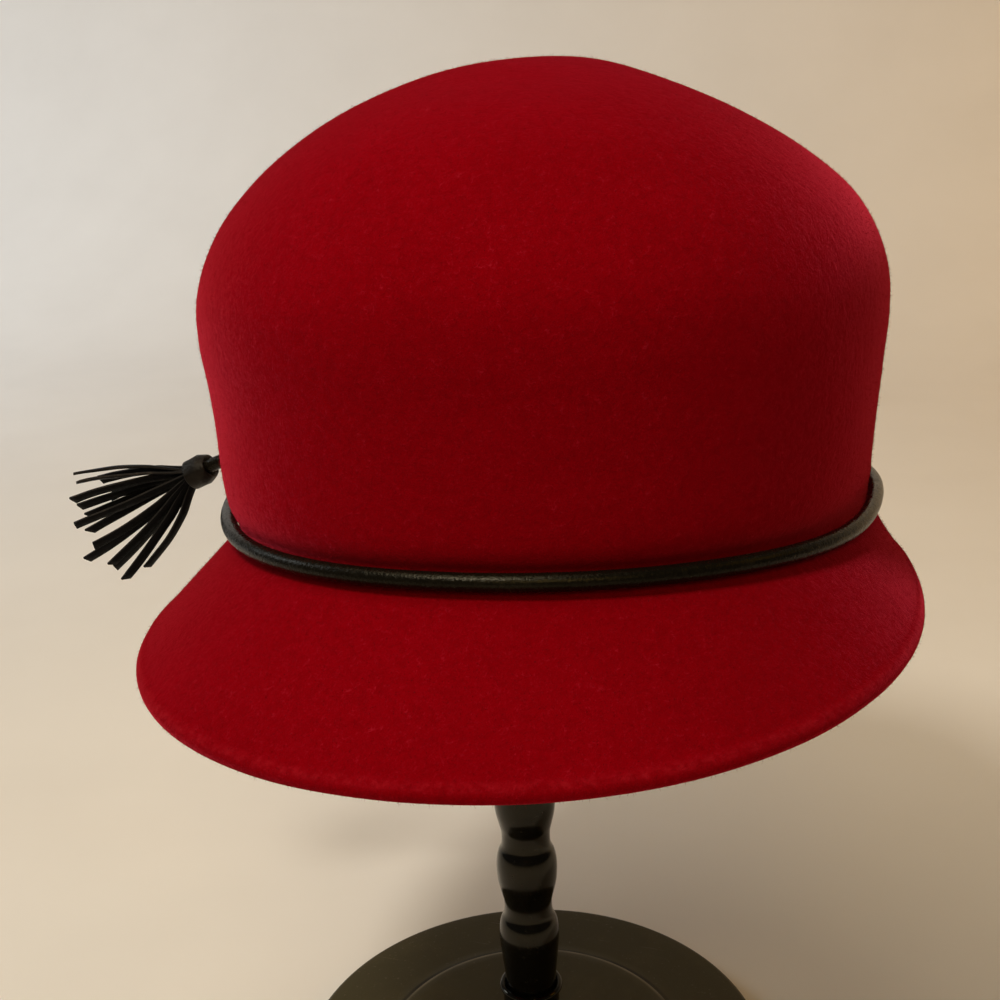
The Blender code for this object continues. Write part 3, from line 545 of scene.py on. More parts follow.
# Cord. One round leather cord laid once round the bend above the brim, a little slack on the wearer's
# left. Both of its ends leave the ring at the wearer's right and run side by side into the tassel.
CLEARANCE, CORD_RADIUS, CORD_HEIGHT = 0.0003, 0.0022, 0.0019
JOIN_ANGLE, JOIN_HALF_ANGLE = math.radians(-94), math.radians(7)
STEM_LENGTH, STEM_RISE, STEM_HEIGHT = 0.0274, -0.0018, 0.0030
TASSEL_DROOP, TASSEL_TURN = math.radians(24.7), math.radians(14)
CORD_IN_WRAP = 0.0030
# Each sway's middle and spread in degrees, and how far it rises and stands out in cord radii.
CORD_SWAYS = ((-94, 38, 2.80, 0.00), (68, 31, -0.77, 0.00), (135, 40, 0.00, 2.05))
# Points of each cord end: out and aside at the join in cord radii, then share and gap along the stem.
JOIN_SECTIONS = ((0.38, 3.33), (1.00, 2.17), (2.00, 1.42))
STEM_SECTIONS = ((0.38, 1.16), (0.60, 1.00), (0.82, 1.00))
CORD_RING_STEPS, CORD_MARK_EVERY, CORD_MARK_STEPS, CORD_SIDES = 150, 3, 6, 24
CORD_UNEVENNESS = 0.015


def cord_on_ring(angle):
    """Centre of the cord where it rests against the felt: level, but for its sways up, down and out."""
    height, aside = CORD_HEIGHT, 0.0
    for middle, spread, rise, out in CORD_SWAYS:
        share = math.exp(-(((math.degrees(angle) - middle + 180) % 360 - 180) / spread) ** 2)
        height += rise * share * CORD_RADIUS
        aside += out * share * CORD_RADIUS
    line = np.array(felt_outside(angle))
    line = np.vstack([line[:-1] + share * (line[1:] - line[:-1]) for share in (0.0, 0.25, 0.5, 0.75)])
    above = line[:, 1] - height
    away = CORD_RADIUS + 0.5 * CLEARANCE
    near = np.abs(above) < away
    radius = float((line[near, 0] + np.sqrt(away**2 - above[near] ** 2)).max())
    return round_hat(angle, radius + aside, height)


def stem_point(share):
    """Middle of the two cord ends between the ring and the wrap."""
    aim = Vector((
        math.cos(TASSEL_TURN) * math.cos(TASSEL_DROOP),
        math.sin(TASSEL_TURN) * math.cos(TASSEL_DROOP),
        -math.sin(TASSEL_DROOP),
    ))
    finish = Vector((STEM_LENGTH, 0.0, STEM_RISE))
    first = Vector((STEM_LENGTH / 3, 0.0, 0.5 * STEM_HEIGHT))
    second = finish - STEM_LENGTH / 3 * aim
    rest = 1.0 - share
    return 3 * rest**2 * share * first + 3 * rest * share**2 * second + share**3 * finish


join_centre = cord_on_ring(JOIN_ANGLE)
join_out = round_hat(JOIN_ANGLE, 1.0, 0.0)
join_side = Vector((0.0, 0.0, 1.0)).cross(join_out)
JOIN_PLACE = HAT_PLACE @ Matrix((
    (join_out.x, join_side.x, 0.0, join_centre.x),
    (join_out.y, join_side.y, 0.0, join_centre.y),
    (0.0, 0.0, 1.0, join_centre.z),
    (0.0, 0.0, 0.0, 1.0),
))
WRAP_PLACE = (
    JOIN_PLACE @ Matrix.Translation(stem_point(1.0))
    @ Matrix.Rotation(TASSEL_TURN, 4, "Z") @ Matrix.Rotation(TASSEL_DROOP, 4, "Y")
)


def cord_end(side):
    """The cord's points from the ring's end into the wrap, on one side of the stem."""
    spacing = CORD_RADIUS + 0.5 * CLEARANCE
    end = [JOIN_PLACE @ Vector((out * CORD_RADIUS, side * aside * CORD_RADIUS, 0.0))
           for out, aside in JOIN_SECTIONS]
    end += [JOIN_PLACE @ (stem_point(share) + Vector((0.0, side * gap * spacing, 0.0)))
            for share, gap in STEM_SECTIONS]
    end += [WRAP_PLACE @ Vector((depth, side * spacing, 0.0)) for depth in (0.0, CORD_IN_WRAP)]
    return end


def tube(path, radii, sides):
    """Points of a round tube: a ring at each point of a path, carried along it without twist."""
    path = np.array([tuple(p) for p in path], dtype=float)
    heading = np.gradient(path, axis=0)
    heading /= np.linalg.norm(heading, axis=1)[:, None]
    across = np.cross(heading[0], (0.0, 0.0, 1.0))
    points = []
    for spot, ahead, radius in zip(path, heading, radii):
        across = across - ahead * across.dot(ahead)
        across /= np.linalg.norm(across)
        above = np.cross(ahead, across)
        for step in range(sides):
            angle = 2 * math.pi * step / sides
            points.append(spot + radius * (math.cos(angle) * across + math.sin(angle) * above))
    return points


cord_ring = []
for i in range(CORD_RING_STEPS + 1):
    angle = JOIN_ANGLE + JOIN_HALF_ANGLE + (2 * math.pi - 2 * JOIN_HALF_ANGLE) * i / CORD_RING_STEPS
    cord_ring.append(HAT_PLACE @ cord_on_ring(angle))
ends = [cord_end(-1), cord_end(1)]
ends.sort(key=lambda end: (end[0] - cord_ring[0]).length)
cord_marks = list(reversed(ends[0])) + cord_ring[::CORD_MARK_EVERY] + ends[1]
first_mark = cord_marks[0] * 2 - cord_marks[1]
last_mark = cord_marks[-1] * 2 - cord_marks[-2]
cord_path = smooth_through([first_mark, *cord_marks, last_mark], CORD_MARK_STEPS)
cord_radii = []
for i in range(len(cord_path)):
    swell = CORD_UNEVENNESS * noise.noise(Vector((0.35 * i, 1.7, 0.0)))
    cord_radii.append(CORD_RADIUS * (1.0 - CORD_UNEVENNESS + swell))
cord_points = tube(cord_path, cord_radii, CORD_SIDES)
cord_faces, cord_places = grid_skin(len(cord_path), CORD_SIDES)
for first in (0, (len(cord_path) - 1) * CORD_SIDES):
    cap = range(first, first + CORD_SIDES)
    cord_faces.append(tuple(cap) if first == 0 else tuple(reversed(cap)))
    cord_places += [(0.01, 0.01)] * CORD_SIDES


def leather_group():
    """Colour, roughness and relief of dyed leather: fine pebbled grain, creases, and rubbed high spots."""
    tree, given, result, where = new_group(
        "leather_grain", ("Dye", "Rubbed"), ("Grain Scale", "Smooth", "Dull"))
    pebbles = add_node(tree, "ShaderNodeTexVoronoi", {"feature": "SMOOTH_F1"}, {
        "Vector": where, "Scale": given.outputs["Grain Scale"]}).outputs["Distance"]
    creases = add_node(tree, "ShaderNodeTexNoise", inputs={
        "Vector": where, "Scale": add_math(tree, "MULTIPLY", given.outputs["Grain Scale"], 0.35),
        "Detail": 5.0, "Roughness": 0.65, "Distortion": 1.2}).outputs["Fac"]
    wear = add_node(tree, "ShaderNodeTexNoise", inputs={
        "Vector": where, "Scale": 60.0, "Detail": 5.0, "Roughness": 0.7}).outputs["Fac"]
    rubbed = add_math(tree, "MULTIPLY", add_ramp(tree, wear, [(0.50, 0.0), (0.72, 1.0)]),
                      add_ramp(tree, creases, [(0.42, 0.0), (0.62, 1.0)]))
    tree.links.new(add_mix(tree, rubbed, given.outputs["Dye"], given.outputs["Rubbed"]),
                   result.inputs["Color"])
    rough = add_node(tree, "ShaderNodeMapRange", inputs={
        "Value": creases, 1: 0.35, 2: 0.68, 3: given.outputs["Smooth"], 4: given.outputs["Dull"]})
    tree.links.new(rough.outputs[0], result.inputs["Roughness"])
    tree.links.new(add_math(tree, "ADD", add_math(tree, "MULTIPLY", pebbles, 0.6), creases),
                   result.inputs["Height"])
    return tree


leather_grain = leather_group()
cord_leather, cord_tree, cord_shader = new_material("black_cord_leather", {
    "Specular IOR Level": 0.13, "Specular Tint": (1.0, 0.92, 0.70, 1.0),
})
use_group(cord_tree, cord_shader, leather_grain, {
    "Dye": (0.0045, 0.0036, 0.0022, 1.0), "Rubbed": (0.012, 0.010, 0.006, 1.0), "Grain Scale": 1900.0,
    "Smooth": 0.18, "Dull": 0.34,
}, 0.38, 0.0003)
cord = new_piece("leather_cord", cord_points, cord_faces, [cord_leather], cord_places)
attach(cord, "root")
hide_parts("band_cord")


# Tassel wrap. A short band of thin leather drawn tight round the two cord ends and the roots of the
# strips, flat where it holds the cord and fuller where the strips come out.
WRAP_LENGTH, WRAP_WALL, WRAP_ROUND = 0.0075, 0.0009, 0.0004
# Share of the wrap's length, and half width and half height of its hollow there in cord radii.
WRAP_SECTIONS = ((0.00, 2.38, 1.32), (0.35, 2.45, 1.86), (1.00, 2.40, 1.80))
WRAP_SIDES, WRAP_ROUND_STEPS, WRAP_CREASE = 48, 4, 0.00020


def wrap_hollow(share):
    """Half width and half height of the wrap's hollow at a share of its length."""
    shares = [row[0] for row in WRAP_SECTIONS]
    return tuple(CORD_RADIUS * np.interp(share, shares, [row[i] for row in WRAP_SECTIONS]) for i in (1, 2))


def wrap_ring(along, grown, drawn=1.0):
    """One ring of the wrap: grown is its distance outside the hollow, drawn pulls it to the middle."""
    half_width, half_height = wrap_hollow(along / WRAP_LENGTH)
    ring = []
    for step in range(WRAP_SIDES):
        angle = 2 * math.pi * step / WRAP_SIDES
        crease = WRAP_CREASE * noise.noise(Vector((260 * along, 3 * math.cos(angle), 3 * math.sin(angle))))
        swell = grown + (crease if grown > 0.0 else 0.0)
        ring.append(WRAP_PLACE @ Vector((
            along, drawn * (half_width + swell) * math.cos(angle),
            drawn * (half_height + swell) * math.sin(angle),
        )))
    return ring


# Rings that close the wrap round the cord: how far in, how far out from the hollow, and how open.
WRAP_MOUTH = ((0.0011, 0.0, 0.0), (0.0010, 0.0, 0.6), (0.0006, 0.0, 0.93))
wrap_rings = list(WRAP_MOUTH)
wrap_rings += [
    (WRAP_ROUND * (1 - math.sin(b)), WRAP_WALL - WRAP_ROUND * (1 - math.cos(b)), 1.0)
    for b in (0.5 * math.pi * (1 - i / WRAP_ROUND_STEPS) for i in range(WRAP_ROUND_STEPS + 1))
]
wrap_rings += [(WRAP_LENGTH * share, WRAP_WALL, 1.0) for share in (0.12, 0.22, 0.35, 0.5, 0.65, 0.8, 0.9)]
wrap_rings += [
    (WRAP_LENGTH - WRAP_ROUND * (1 - math.sin(b)), WRAP_WALL - WRAP_ROUND * (1 - math.cos(b)), 1.0)
    for b in (0.5 * math.pi * i / WRAP_ROUND_STEPS for i in range(WRAP_ROUND_STEPS + 1))
]
wrap_rings += [(WRAP_LENGTH * share, 0.0, 1.0) for share in (1.0, 0.7, 0.5)]
wrap_rings.append((0.5 * WRAP_LENGTH, 0.0, 0.0))
wrap_points = [point for row in wrap_rings for point in wrap_ring(*row)]
wrap_faces, wrap_places = grid_skin(len(wrap_rings), WRAP_SIDES)
wrap_leather, wrap_tree, wrap_shader = new_material("black_wrap_leather", {
    "Specular IOR Level": 0.18, "Specular Tint": (1.0, 0.88, 0.72, 1.0),
})
use_group(wrap_tree, wrap_shader, leather_grain, {
    "Dye": (0.0050, 0.0040, 0.0035, 1.0), "Rubbed": (0.030, 0.021, 0.014, 1.0), "Grain Scale": 1500.0,
    "Smooth": 0.34, "Dull": 0.55,
}, 0.45, 0.0003)
wrap = new_piece("tassel_leather_wrap", wrap_points, wrap_faces, [wrap_leather], wrap_places)
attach(wrap, "root")
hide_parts("tassel_wrap")


# Tassel strips. One piece of thin leather, cut into strips from one side and rolled up by the uncut
# side, which fills the wrap. The strips fan out stiffly; their cut sides show a paler brown core.
STRIP_WIDTH, STRIP_THICKNESS, STRIP_LENGTH = 0.0031, 0.0009, 0.0400
STRIP_OVERLAP, STRIP_ROOT_INSET, ROOT_LENGTH = 0.0006, 0.0020, 0.0042
STRIP_RISE_AT_ROOT, STRIP_RISE_GROWTH = 0.80, 0.60
STRIP_CORNER, STRIP_SLANT, STRIP_WANDER, STRIP_CURL, STRIP_RAGGEDNESS = 0.00012, 0.0009, 0.0004, 0.16, 0.07
STRIP_SEGMENTS, STRIP_SIDES, ROOT_ROWS = 22, 8, 6
# Each strip's rise and turn at its root, length, place up and aside in the wrap, bend and roll.
STRIPS = (
    (34, 0, 0.98, 0.95, -0.10, -10, 4), (27, -10, 0.87, 0.85, -0.50, -9, 66),
    (27, 4, 0.93, 0.75, 0.50, -6, 12), (20, 2, 1.02, 0.58, 0.30, -7, 44),
    (11, -4, 1.05, 0.45, 0.00, -2, 46), (17, -12, 0.85, 0.55, -0.80, -9, 76),
    (4, -6, 1.04, 0.30, -0.30, 0, 56), (5, -16, 0.71, 0.15, -0.95, -3, 70),
    (1, 4, 1.06, 0.20, 0.50, 2, 40), (-1, -2, 1.04, 0.15, 0.10, -1, 46),
    (-16, 4, 1.02, -0.25, 0.40, 8, 48), (-16, -4, 1.24, -0.35, -0.10, 6, 48),
    (-23, 2, 1.02, -0.40, 0.30, 4, 38), (-23, -8, 1.16, -0.50, -0.50, 4, 34),
    (-31, 0, 1.06, -0.65, 0.10, 4, 40), (-44, -4, 0.90, -0.95, -0.20, 13, 24),
)


def strip_rings(number, row):
    """Cross sections of one strip from its root to its cut end, each a flat bar with eased corners."""
    rise, turn, length, up, side, bend, roll = row
    half_width, half_height = wrap_hollow(1.0)
    inset = CLEARANCE + STRIP_ROOT_INSET
    start = Vector((WRAP_LENGTH - STRIP_OVERLAP, side * (half_width - inset), up * (half_height - inset)))
    heading = math.radians(turn)
    rings = []
    for i in range(STRIP_SEGMENTS + 1):
        share = i / STRIP_SEGMENTS
        risen = min(1.0, STRIP_RISE_AT_ROOT + STRIP_RISE_GROWTH * share)
        climb = math.radians(rise * risen + bend * share)
        along = Vector((math.cos(climb) * math.cos(heading), math.sin(heading), math.sin(climb)))
        flat = Vector((-math.sin(heading), math.cos(heading), 0.0))
        upward = Vector((-math.sin(climb), 0.0, math.cos(climb)))
        curl = math.radians(roll) + STRIP_CURL * noise.noise(Vector((2.2 * share, number, 0.0)))
        broad = flat * math.cos(curl) + upward * math.sin(curl)
        thick = along.cross(broad).normalized()
        wander = STRIP_WANDER * share * noise.noise(Vector((3.0 * share, number, 5.0)))
        middle = start + along * STRIP_LENGTH * length * share + wander * thick
        ragged = STRIP_RAGGEDNESS * noise.noise(Vector((4.0 * share, number, 9.0)))
        half = 0.5 * STRIP_WIDTH * (1.0 + ragged)
        deep, ease = 0.5 * STRIP_THICKNESS, STRIP_CORNER
        slant = STRIP_SLANT * math.sin(2.3 * number) if i == STRIP_SEGMENTS else 0.0
        ring = []
        for across, out in (
            (-half, deep - ease), (-half + ease, deep), (half - ease, deep), (half, deep - ease),
            (half, ease - deep), (half - ease, -deep), (ease - half, -deep), (-half, ease - deep),
        ):
            ring.append(WRAP_PLACE @ (middle + broad * across + thick * out + along * slant * across / half))
        rings.append(ring)
    return rings


strip_points, strip_faces, strip_places, strip_slots = [], [], [], []
for number, row in enumerate(STRIPS):
    rings = strip_rings(number, row)
    first = len(strip_points)
    left, width = number / (len(STRIPS) + 2), 0.92 / (len(STRIPS) + 2)
    for ring in rings:
        strip_points += ring
    for i in range(STRIP_SEGMENTS):
        low, high = 0.9 * i / STRIP_SEGMENTS, 0.9 * (i + 1) / STRIP_SEGMENTS
        for step in range(STRIP_SIDES):
            near, far = first + STRIP_SIDES * i, first + STRIP_SIDES * (i + 1)
            after = (step + 1) % STRIP_SIDES
            strip_faces.append((near + step, near + after, far + after, far + step))
            near_side, far_side = (left + width * (step + edge) / STRIP_SIDES for edge in (0, 1))
            strip_places += [(near_side, low), (far_side, low), (far_side, high), (near_side, high)]
            strip_slots.append(1 if step in (3, 7) else 0)
    for begin, order in ((first, -1), (first + STRIP_SIDES * STRIP_SEGMENTS, 1)):
        strip_faces.append(tuple(range(begin, begin + STRIP_SIDES))[::order])
        strip_places += [(left, 0.95)] * STRIP_SIDES
        strip_slots.append(1)
root_begin = len(strip_points)
for i in range(ROOT_ROWS):
    along = WRAP_LENGTH - ROOT_LENGTH * (1 - i / (ROOT_ROWS - 1))
    half_width, half_height = (half - CLEARANCE for half in wrap_hollow(along / WRAP_LENGTH))
    for step in range(WRAP_SIDES):
        angle = 2 * math.pi * step / WRAP_SIDES
        strip_points.append(WRAP_PLACE @ Vector((
            along, half_width * math.cos(angle), half_height * math.sin(angle))))
root_faces, root_places = grid_skin(ROOT_ROWS, WRAP_SIDES)
strip_faces += [tuple(root_begin + corner for corner in face) for face in root_faces]
strip_places += [(0.9 + 0.09 * across, 0.9 * down) for across, down in root_places]
strip_slots += [0] * len(root_faces)
for begin, order in ((root_begin, 1), (root_begin + (ROOT_ROWS - 1) * WRAP_SIDES, -1)):
    strip_faces.append(tuple(range(begin, begin + WRAP_SIDES))[::order])
    strip_places += [(0.95, 0.95)] * WRAP_SIDES
    strip_slots.append(1)
strip_leather, strip_tree, strip_shader = new_material("black_strip_leather", {"Specular IOR Level": 0.06})
use_group(strip_tree, strip_shader, leather_grain, {
    "Dye": (0.0022, 0.0021, 0.0028, 1.0), "Rubbed": (0.011, 0.010, 0.011, 1.0), "Grain Scale": 1700.0,
    "Smooth": 0.42, "Dull": 0.70,
}, 0.4, 0.0003)
cut_leather, cut_tree, cut_shader = new_material("cut_strip_edge", {"Specular IOR Level": 0.15})
use_group(cut_tree, cut_shader, leather_grain, {
    "Dye": (0.013, 0.011, 0.010, 1.0), "Rubbed": (0.085, 0.070, 0.058, 1.0), "Grain Scale": 2600.0,
    "Smooth": 0.75, "Dull": 0.95,
}, 0.6, 0.0002)
strips = new_piece("tassel_strips", strip_points, strip_faces, [strip_leather, cut_leather],
                   strip_places, strip_slots)
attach(strips, "root")
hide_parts("tassel_fringe")


# Stand head. A turned mushroom with a low dome that the crown rests on, hollowed a little underneath
# and bored for the post. Turned wood under black lacquer, as the post and the collar are.
HEAD_RADIUS, HEAD_DOME_RADIUS, HEAD_RIM_ROUND = 0.0520, 0.0850, 0.0035
HEAD_NECK_RADIUS, HEAD_UNDERCUT, HEAD_SOCKET_DEPTH = 0.0125, 0.0160, 0.0120
# Places on the head's underside: out in neck radii and down as a share of the undercut.
HEAD_UNDER_SECTIONS = ((2.20, 0.10), (1.25, 0.45), (1.00, 1.00))
HEAD_DOME_STEPS, HEAD_RIM_STEPS, HEAD_NECK_STEPS, HEAD_SIDES = 20, 14, 7, 96
HEAD_RIM_FROM, HEAD_RIM_TURN, HEAD_NECK_STEER = 50, 140, 0.004
POST_NECK_RADIUS = 0.0076


def turned(name, profile, steps, materials):
    """A piece turned on the lathe from a profile of radius and height, top down on the outside."""
    points = []
    for radius, height in profile:
        for step in range(steps):
            angle = 2 * math.pi * step / steps
            points.append((radius * math.cos(angle), radius * math.sin(angle), height))
    faces, places = grid_skin(len(profile), steps)
    return new_piece(name, points, faces, materials, places)


head_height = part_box("stand_head")[1][2]
head_rim = head_height - HEAD_DOME_RADIUS + math.sqrt(
    HEAD_DOME_RADIUS**2 - (HEAD_RADIUS - HEAD_RIM_ROUND) ** 2)
head_under = head_rim - 2 * HEAD_RIM_ROUND - HEAD_UNDERCUT
post_top = head_under + HEAD_SOCKET_DEPTH
limit = math.asin((HEAD_RADIUS - HEAD_RIM_ROUND) / HEAD_DOME_RADIUS)
head_profile = [
    (HEAD_DOME_RADIUS * math.sin(b), head_height - HEAD_DOME_RADIUS * (1 - math.cos(b)))
    for b in (limit * i / HEAD_DOME_STEPS for i in range(HEAD_DOME_STEPS + 1))
]
head_profile += [
    (HEAD_RADIUS - HEAD_RIM_ROUND * (1 - math.cos(b)), head_rim - HEAD_RIM_ROUND * (1 - math.sin(b)))
    for b in (math.radians(HEAD_RIM_FROM - HEAD_RIM_TURN * i / HEAD_RIM_STEPS)
              for i in range(HEAD_RIM_STEPS + 1))
]
under_marks = [(out * HEAD_NECK_RADIUS, head_rim - 2 * HEAD_RIM_ROUND - down * HEAD_UNDERCUT)
               for out, down in HEAD_UNDER_SECTIONS]
under_marks = [*head_profile[-2:], *under_marks, (HEAD_NECK_RADIUS, head_under - HEAD_NECK_STEER)]
head_profile += [tuple(p) for p in smooth_through(under_marks, HEAD_NECK_STEPS)][1:]
neck_hole = POST_NECK_RADIUS + CLEARANCE
head_profile += [(neck_hole, head_under), (neck_hole, post_top + CLEARANCE), (0.0, post_top + CLEARANCE)]


def turned_finish_group():
    """Colour, roughness and relief of turned, finished wood: tool rings, rubs, fine scratches and dust."""
    tree, given, result, where = new_group(
        "turned_finish", ("Stain", "Rubbed", "Dust"), ("Dust Share", "Scratch Share", "Gloss", "Dull"))
    rubs = add_node(tree, "ShaderNodeTexNoise", inputs={
        "Vector": where, "Scale": 45.0, "Detail": 6.0, "Roughness": 0.68}).outputs["Fac"]
    specks = add_node(tree, "ShaderNodeTexNoise", inputs={
        "Vector": where, "Scale": 900.0, "Detail": 2.0, "Roughness": 0.5}).outputs["Fac"]
    lines = add_node(tree, "ShaderNodeTexNoise", inputs={
        "Vector": add_node(tree, "ShaderNodeMapping", inputs={
            "Vector": where, "Rotation": (0.3, 0.2, 0.6), "Scale": (14.0, 900.0, 60.0)}).outputs[0],
        "Scale": 1.0, "Detail": 3.0, "Roughness": 0.7, "Distortion": 0.4}).outputs["Fac"]
    scratch = add_math(tree, "MULTIPLY", add_ramp(tree, lines, [(0.67, 0.0), (0.73, 1.0)]),
                       add_ramp(tree, rubs, [(0.48, 0.0), (0.60, 1.0)]))
    scratch = add_math(tree, "MULTIPLY", scratch, given.outputs["Scratch Share"])
    dust = add_math(tree, "MULTIPLY", add_ramp(tree, specks, [(0.66, 0.0), (0.74, 1.0)]),
                    given.outputs["Dust Share"])
    shade = add_mix(tree, add_ramp(tree, rubs, [(0.50, 0.0), (0.75, 0.8)]), given.outputs["Stain"],
                    given.outputs["Rubbed"])
    shade = add_mix(tree, scratch, shade, given.outputs["Dust"])
    shade = add_mix(tree, dust, shade, given.outputs["Dust"])
    tree.links.new(shade, result.inputs["Color"])
    rough = add_node(tree, "ShaderNodeMapRange", inputs={
        "Value": rubs, 1: 0.35, 2: 0.70, 3: given.outputs["Gloss"], 4: given.outputs["Dull"]}).outputs[0]
    tree.links.new(add_math(tree, "ADD", rough, add_math(tree, "MULTIPLY", scratch, 0.3)),
                   result.inputs["Roughness"])
    height = add_math(tree, "SUBTRACT", add_math(tree, "MULTIPLY", rubs, 0.4), scratch)
    tree.links.new(height, result.inputs["Height"])
    return tree


turned_finish = turned_finish_group()
black_lacquer, lacquer_tree, lacquer_shader = new_material("black_lacquer", {
    "Specular IOR Level": 0.27, "Specular Tint": (1.0, 0.90, 0.68, 1.0),
})
use_group(lacquer_tree, lacquer_shader, turned_finish, {
    "Stain": (0.0022, 0.0018, 0.0014, 1.0), "Rubbed": (0.006, 0.005, 0.004, 1.0),
    "Dust": (0.20, 0.18, 0.15, 1.0), "Dust Share": 0.07, "Scratch Share": 0.20,
    "Gloss": 0.10, "Dull": 0.24,
}, 0.25, 0.0003)
head = turned("stand_mushroom_head", head_profile, HEAD_SIDES, [black_lacquer])
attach(head, "root")
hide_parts("stand_head")


# Post. A slim spindle turned with one bulb and one neck over and over, glued into the head above and
# into the collar below.
POST_UNIT, POST_UNITS, POST_BULB_RADIUS, POST_FOOT_RADIUS = 0.0243, 9, 0.0095, 0.0080
POST_LOWEST_SWELL, POST_WIDEST, POST_TOP_STEER = 0.0177, 0.53, 0.004
POST_SECTION_STEPS, POST_SIDES = 4, 64
BASE_THICKNESS, COLLAR_HEIGHT, COLLAR_SOCKET_DEPTH = 0.0090, 0.0225, 0.0100
# Shares of one unit of the post on the way down, and of the growth from neck to bulb there.
POST_SECTIONS = (
    (0.00, 0.00), (0.18, 0.04), (0.29, 0.62), (0.40, 0.92), (POST_WIDEST, 1.00), (0.70, 0.84), (0.86, 0.40),
)
POST_FOOT_SECTIONS = ((0.62, 0.66), (0.30, 0.26))
collar_foot = BASE_THICKNESS + CLEARANCE
collar_rim = collar_foot + COLLAR_HEIGHT
post_bottom = collar_rim - COLLAR_SOCKET_DEPTH + CLEARANCE
lowest_top = collar_rim + POST_LOWEST_SWELL + POST_WIDEST * POST_UNIT
post_marks = [(POST_NECK_RADIUS, post_top + POST_TOP_STEER), (POST_NECK_RADIUS, post_top)]
for unit in range(POST_UNITS - 1, -1, -1):
    for depth, share in POST_SECTIONS:
        if unit > 0 or depth <= POST_WIDEST:
            post_marks.append((
                POST_NECK_RADIUS + (POST_BULB_RADIUS - POST_NECK_RADIUS) * share,
                lowest_top + (unit - depth) * POST_UNIT,
            ))
for share_up, share_out in POST_FOOT_SECTIONS:
    post_marks.append((
        POST_FOOT_RADIUS + (POST_BULB_RADIUS - POST_FOOT_RADIUS) * share_out,
        collar_rim + share_up * POST_LOWEST_SWELL,
    ))
post_marks += [(POST_FOOT_RADIUS, collar_rim), (POST_FOOT_RADIUS, post_bottom)]
post_profile = [(0.0, post_top)] + [tuple(p) for p in smooth_through(post_marks, POST_SECTION_STEPS)]
post_profile += [(POST_FOOT_RADIUS, post_bottom), (0.0, post_bottom)]
post = turned("stand_turned_post", post_profile, POST_SIDES, [black_lacquer])
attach(post, "root")
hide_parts("stand_post")


# Collar. A small turned cup with a round lip, glued on the middle of the base, that the post stands in.
COLLAR_RADIUS, COLLAR_LIP, COLLAR_FOOT_RADIUS = 0.0101, 0.0022, 0.0125
COLLAR_LIP_FROM, COLLAR_LIP_TURN, COLLAR_LIP_STEPS = 140, 200, 16
COLLAR_SECTION_STEPS, COLLAR_SIDES = 6, 64
# How far the collar's side stands out from rim to foot, and its height as a share of the collar's.
COLLAR_SECTIONS = ((-0.458, 0.883), (-0.458, 0.267), (0.092, 0.133), (1.000, 0.053), (1.000, 0.000))
lip = 0.5 * COLLAR_LIP
socket_radius = POST_FOOT_RADIUS + CLEARANCE
socket_floor = collar_rim - COLLAR_SOCKET_DEPTH
collar_profile = [(0.0, socket_floor), (socket_radius, socket_floor), (socket_radius, collar_rim - lip)]
collar_profile += [
    (COLLAR_RADIUS - lip + lip * math.cos(b), collar_rim - lip + lip * math.sin(b))
    for b in (math.radians(COLLAR_LIP_FROM - COLLAR_LIP_TURN * i / COLLAR_LIP_STEPS)
              for i in range(COLLAR_LIP_STEPS + 1))
]
collar_marks = [(COLLAR_RADIUS + out * (COLLAR_FOOT_RADIUS - COLLAR_RADIUS),
                 collar_foot + share * COLLAR_HEIGHT) for out, share in COLLAR_SECTIONS]
side_marks = [collar_profile[-1], collar_marks[0], *collar_marks[:4], collar_marks[3]]
collar_profile += [tuple(p) for p in smooth_through(side_marks, COLLAR_SECTION_STEPS)]
collar_profile += [collar_marks[4], (0.0, collar_foot)]
collar = turned("stand_turned_collar", collar_profile, COLLAR_SIDES, [black_lacquer])
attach(collar, "root")
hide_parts("stand_collar")


# Base. A thin disc turned with a slightly raised middle and a rounded edge, in a satin black finish
# that has gone brown, rubbed and scratched, with dust lying in it.
BASE_RADIUS, BASE_STEP_SHARE, BASE_STEP_HEIGHT = 0.0754, 0.65, 0.0008
BASE_EDGE_ROUND, BASE_FOOT_BEVEL = 0.0020, 0.0006
BASE_TOP_STEPS, BASE_STEP_STEPS, BASE_RIM_STEPS, BASE_EDGE_STEPS, BASE_SIDES = 12, 8, 6, 8, 128
base_low = BASE_THICKNESS - BASE_STEP_HEIGHT
step_radius = BASE_STEP_SHARE * BASE_RADIUS
base_profile = [(step_radius * i / BASE_TOP_STEPS, BASE_THICKNESS) for i in range(BASE_TOP_STEPS)]
base_profile += [
    (step_radius - BASE_STEP_HEIGHT * (1 - t), BASE_THICKNESS - BASE_STEP_HEIGHT * t * t * (3 - 2 * t))
    for t in (i / BASE_STEP_STEPS for i in range(BASE_STEP_STEPS + 1))
]
rim_width = BASE_RADIUS - BASE_EDGE_ROUND - step_radius
base_profile += [(step_radius + rim_width * i / BASE_RIM_STEPS, base_low) for i in range(1, BASE_RIM_STEPS)]
base_profile += [
    (BASE_RADIUS - BASE_EDGE_ROUND * (1 - math.sin(b)), base_low - BASE_EDGE_ROUND * (1 - math.cos(b)))
    for b in (0.5 * math.pi * i / BASE_EDGE_STEPS for i in range(BASE_EDGE_STEPS + 1))
]
base_profile += [(BASE_RADIUS, BASE_FOOT_BEVEL), (BASE_RADIUS - BASE_FOOT_BEVEL, 0.0)]
base_profile += [(BASE_RADIUS * share, 0.0) for share in (0.6, 0.2, 0.0)]
satin_black, satin_tree, satin_shader = new_material("satin_black", {
    "Specular IOR Level": 0.10, "Specular Tint": (1.0, 0.92, 0.70, 1.0),
})
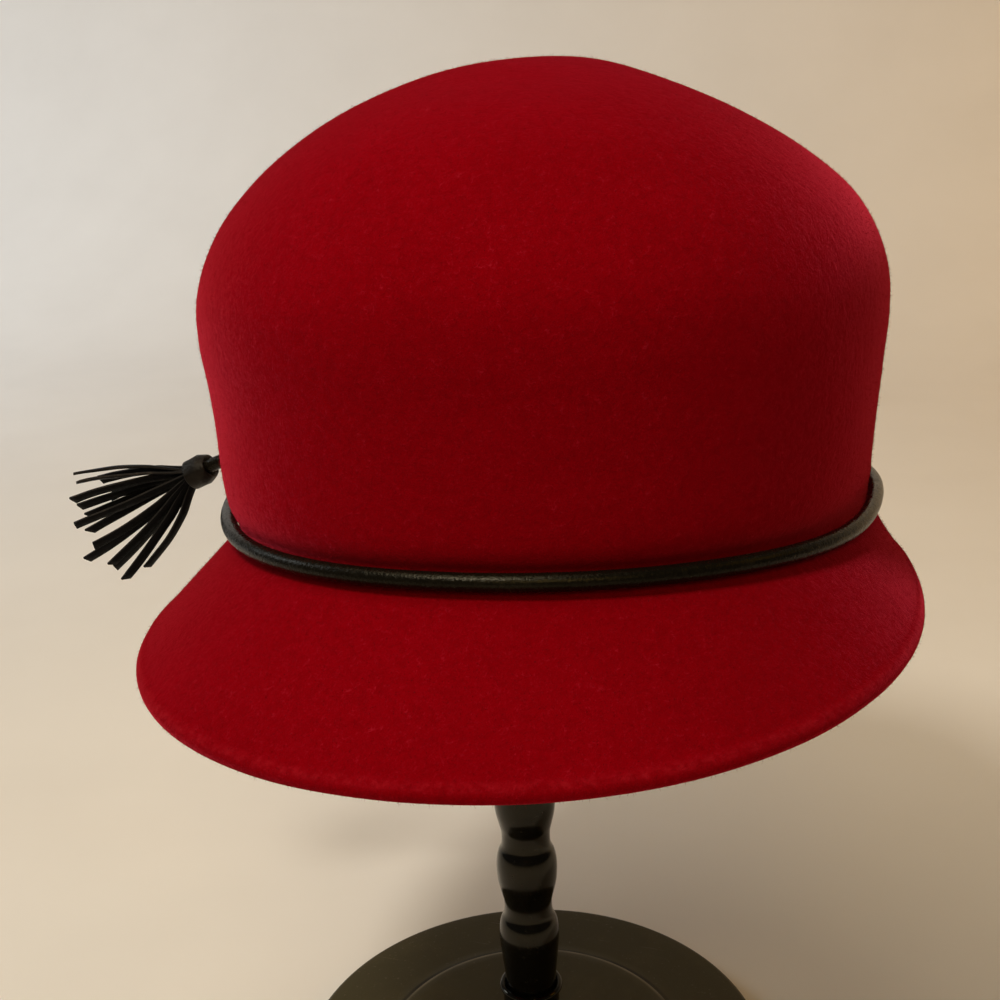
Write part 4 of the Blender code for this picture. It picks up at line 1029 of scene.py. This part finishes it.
satin_finish = use_group(satin_tree, satin_shader, turned_finish, {
    "Stain": (0.056, 0.046, 0.022, 1.0), "Rubbed": (0.078, 0.063, 0.033, 1.0),
    "Dust": (0.16, 0.13, 0.10, 1.0), "Dust Share": 0.35, "Scratch Share": 0.90,
    "Gloss": 0.34, "Dull": 0.52,
}, 0.3, 0.0003)
# Painted highlight and painted shade at the base's step: a thin paler ring on the step's upper edge, where
# it catches the light, and a thin dark ring just outside it at the step's foot. A noise breaks both up.
satin_spot = add_node(satin_tree, "ShaderNodeTexCoord").outputs["Object"]
from_axis = add_node(satin_tree, "ShaderNodeVectorMath", {"operation": "LENGTH"}, {
    0: add_node(satin_tree, "ShaderNodeVectorMath", {"operation": "MULTIPLY"}, {
        0: satin_spot, 1: (1.0, 1.0, 0.0),
    }).outputs["Vector"],
}).outputs["Value"]
ring_place = add_math(satin_tree, "DIVIDE", from_axis, BASE_RADIUS)
step_place = (step_radius - 0.5 * BASE_STEP_HEIGHT) / BASE_RADIUS
painted_ring_breakup = add_ramp(satin_tree, add_node(satin_tree, "ShaderNodeTexNoise", inputs={
    "Vector": satin_spot, "Scale": 70.0, "Detail": 3.0,
}).outputs["Fac"], [(0.35, 0.35), (0.60, 1.0)])
painted_highlight_ring, painted_shade_ring = (
    add_math(satin_tree, "MULTIPLY", painted_ring_breakup, add_ramp(satin_tree, ring_place, [
        (step_place + out, strength) for out, strength in zip(stops, (0.0, 1.0, 1.0, 0.0))
    ]))
    for stops in ((-0.018, -0.008, -0.002, 0.003), (0.003, 0.009, 0.016, 0.026))
)
# Mix in the painted highlight ring's pale colour and the painted shade ring's dark colour.
satin_shade = add_mix(satin_tree, painted_highlight_ring, satin_finish.outputs["Color"], (0.20, 0.17, 0.11, 1.0))
satin_shade = add_mix(satin_tree, painted_shade_ring, satin_shade, (0.012, 0.009, 0.005, 1.0))
satin_tree.links.new(satin_shade, satin_shader.inputs["Base Color"])
base = turned("stand_round_base", base_profile, BASE_SIDES, [satin_black])
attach(base, "root")
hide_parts("stand_base")
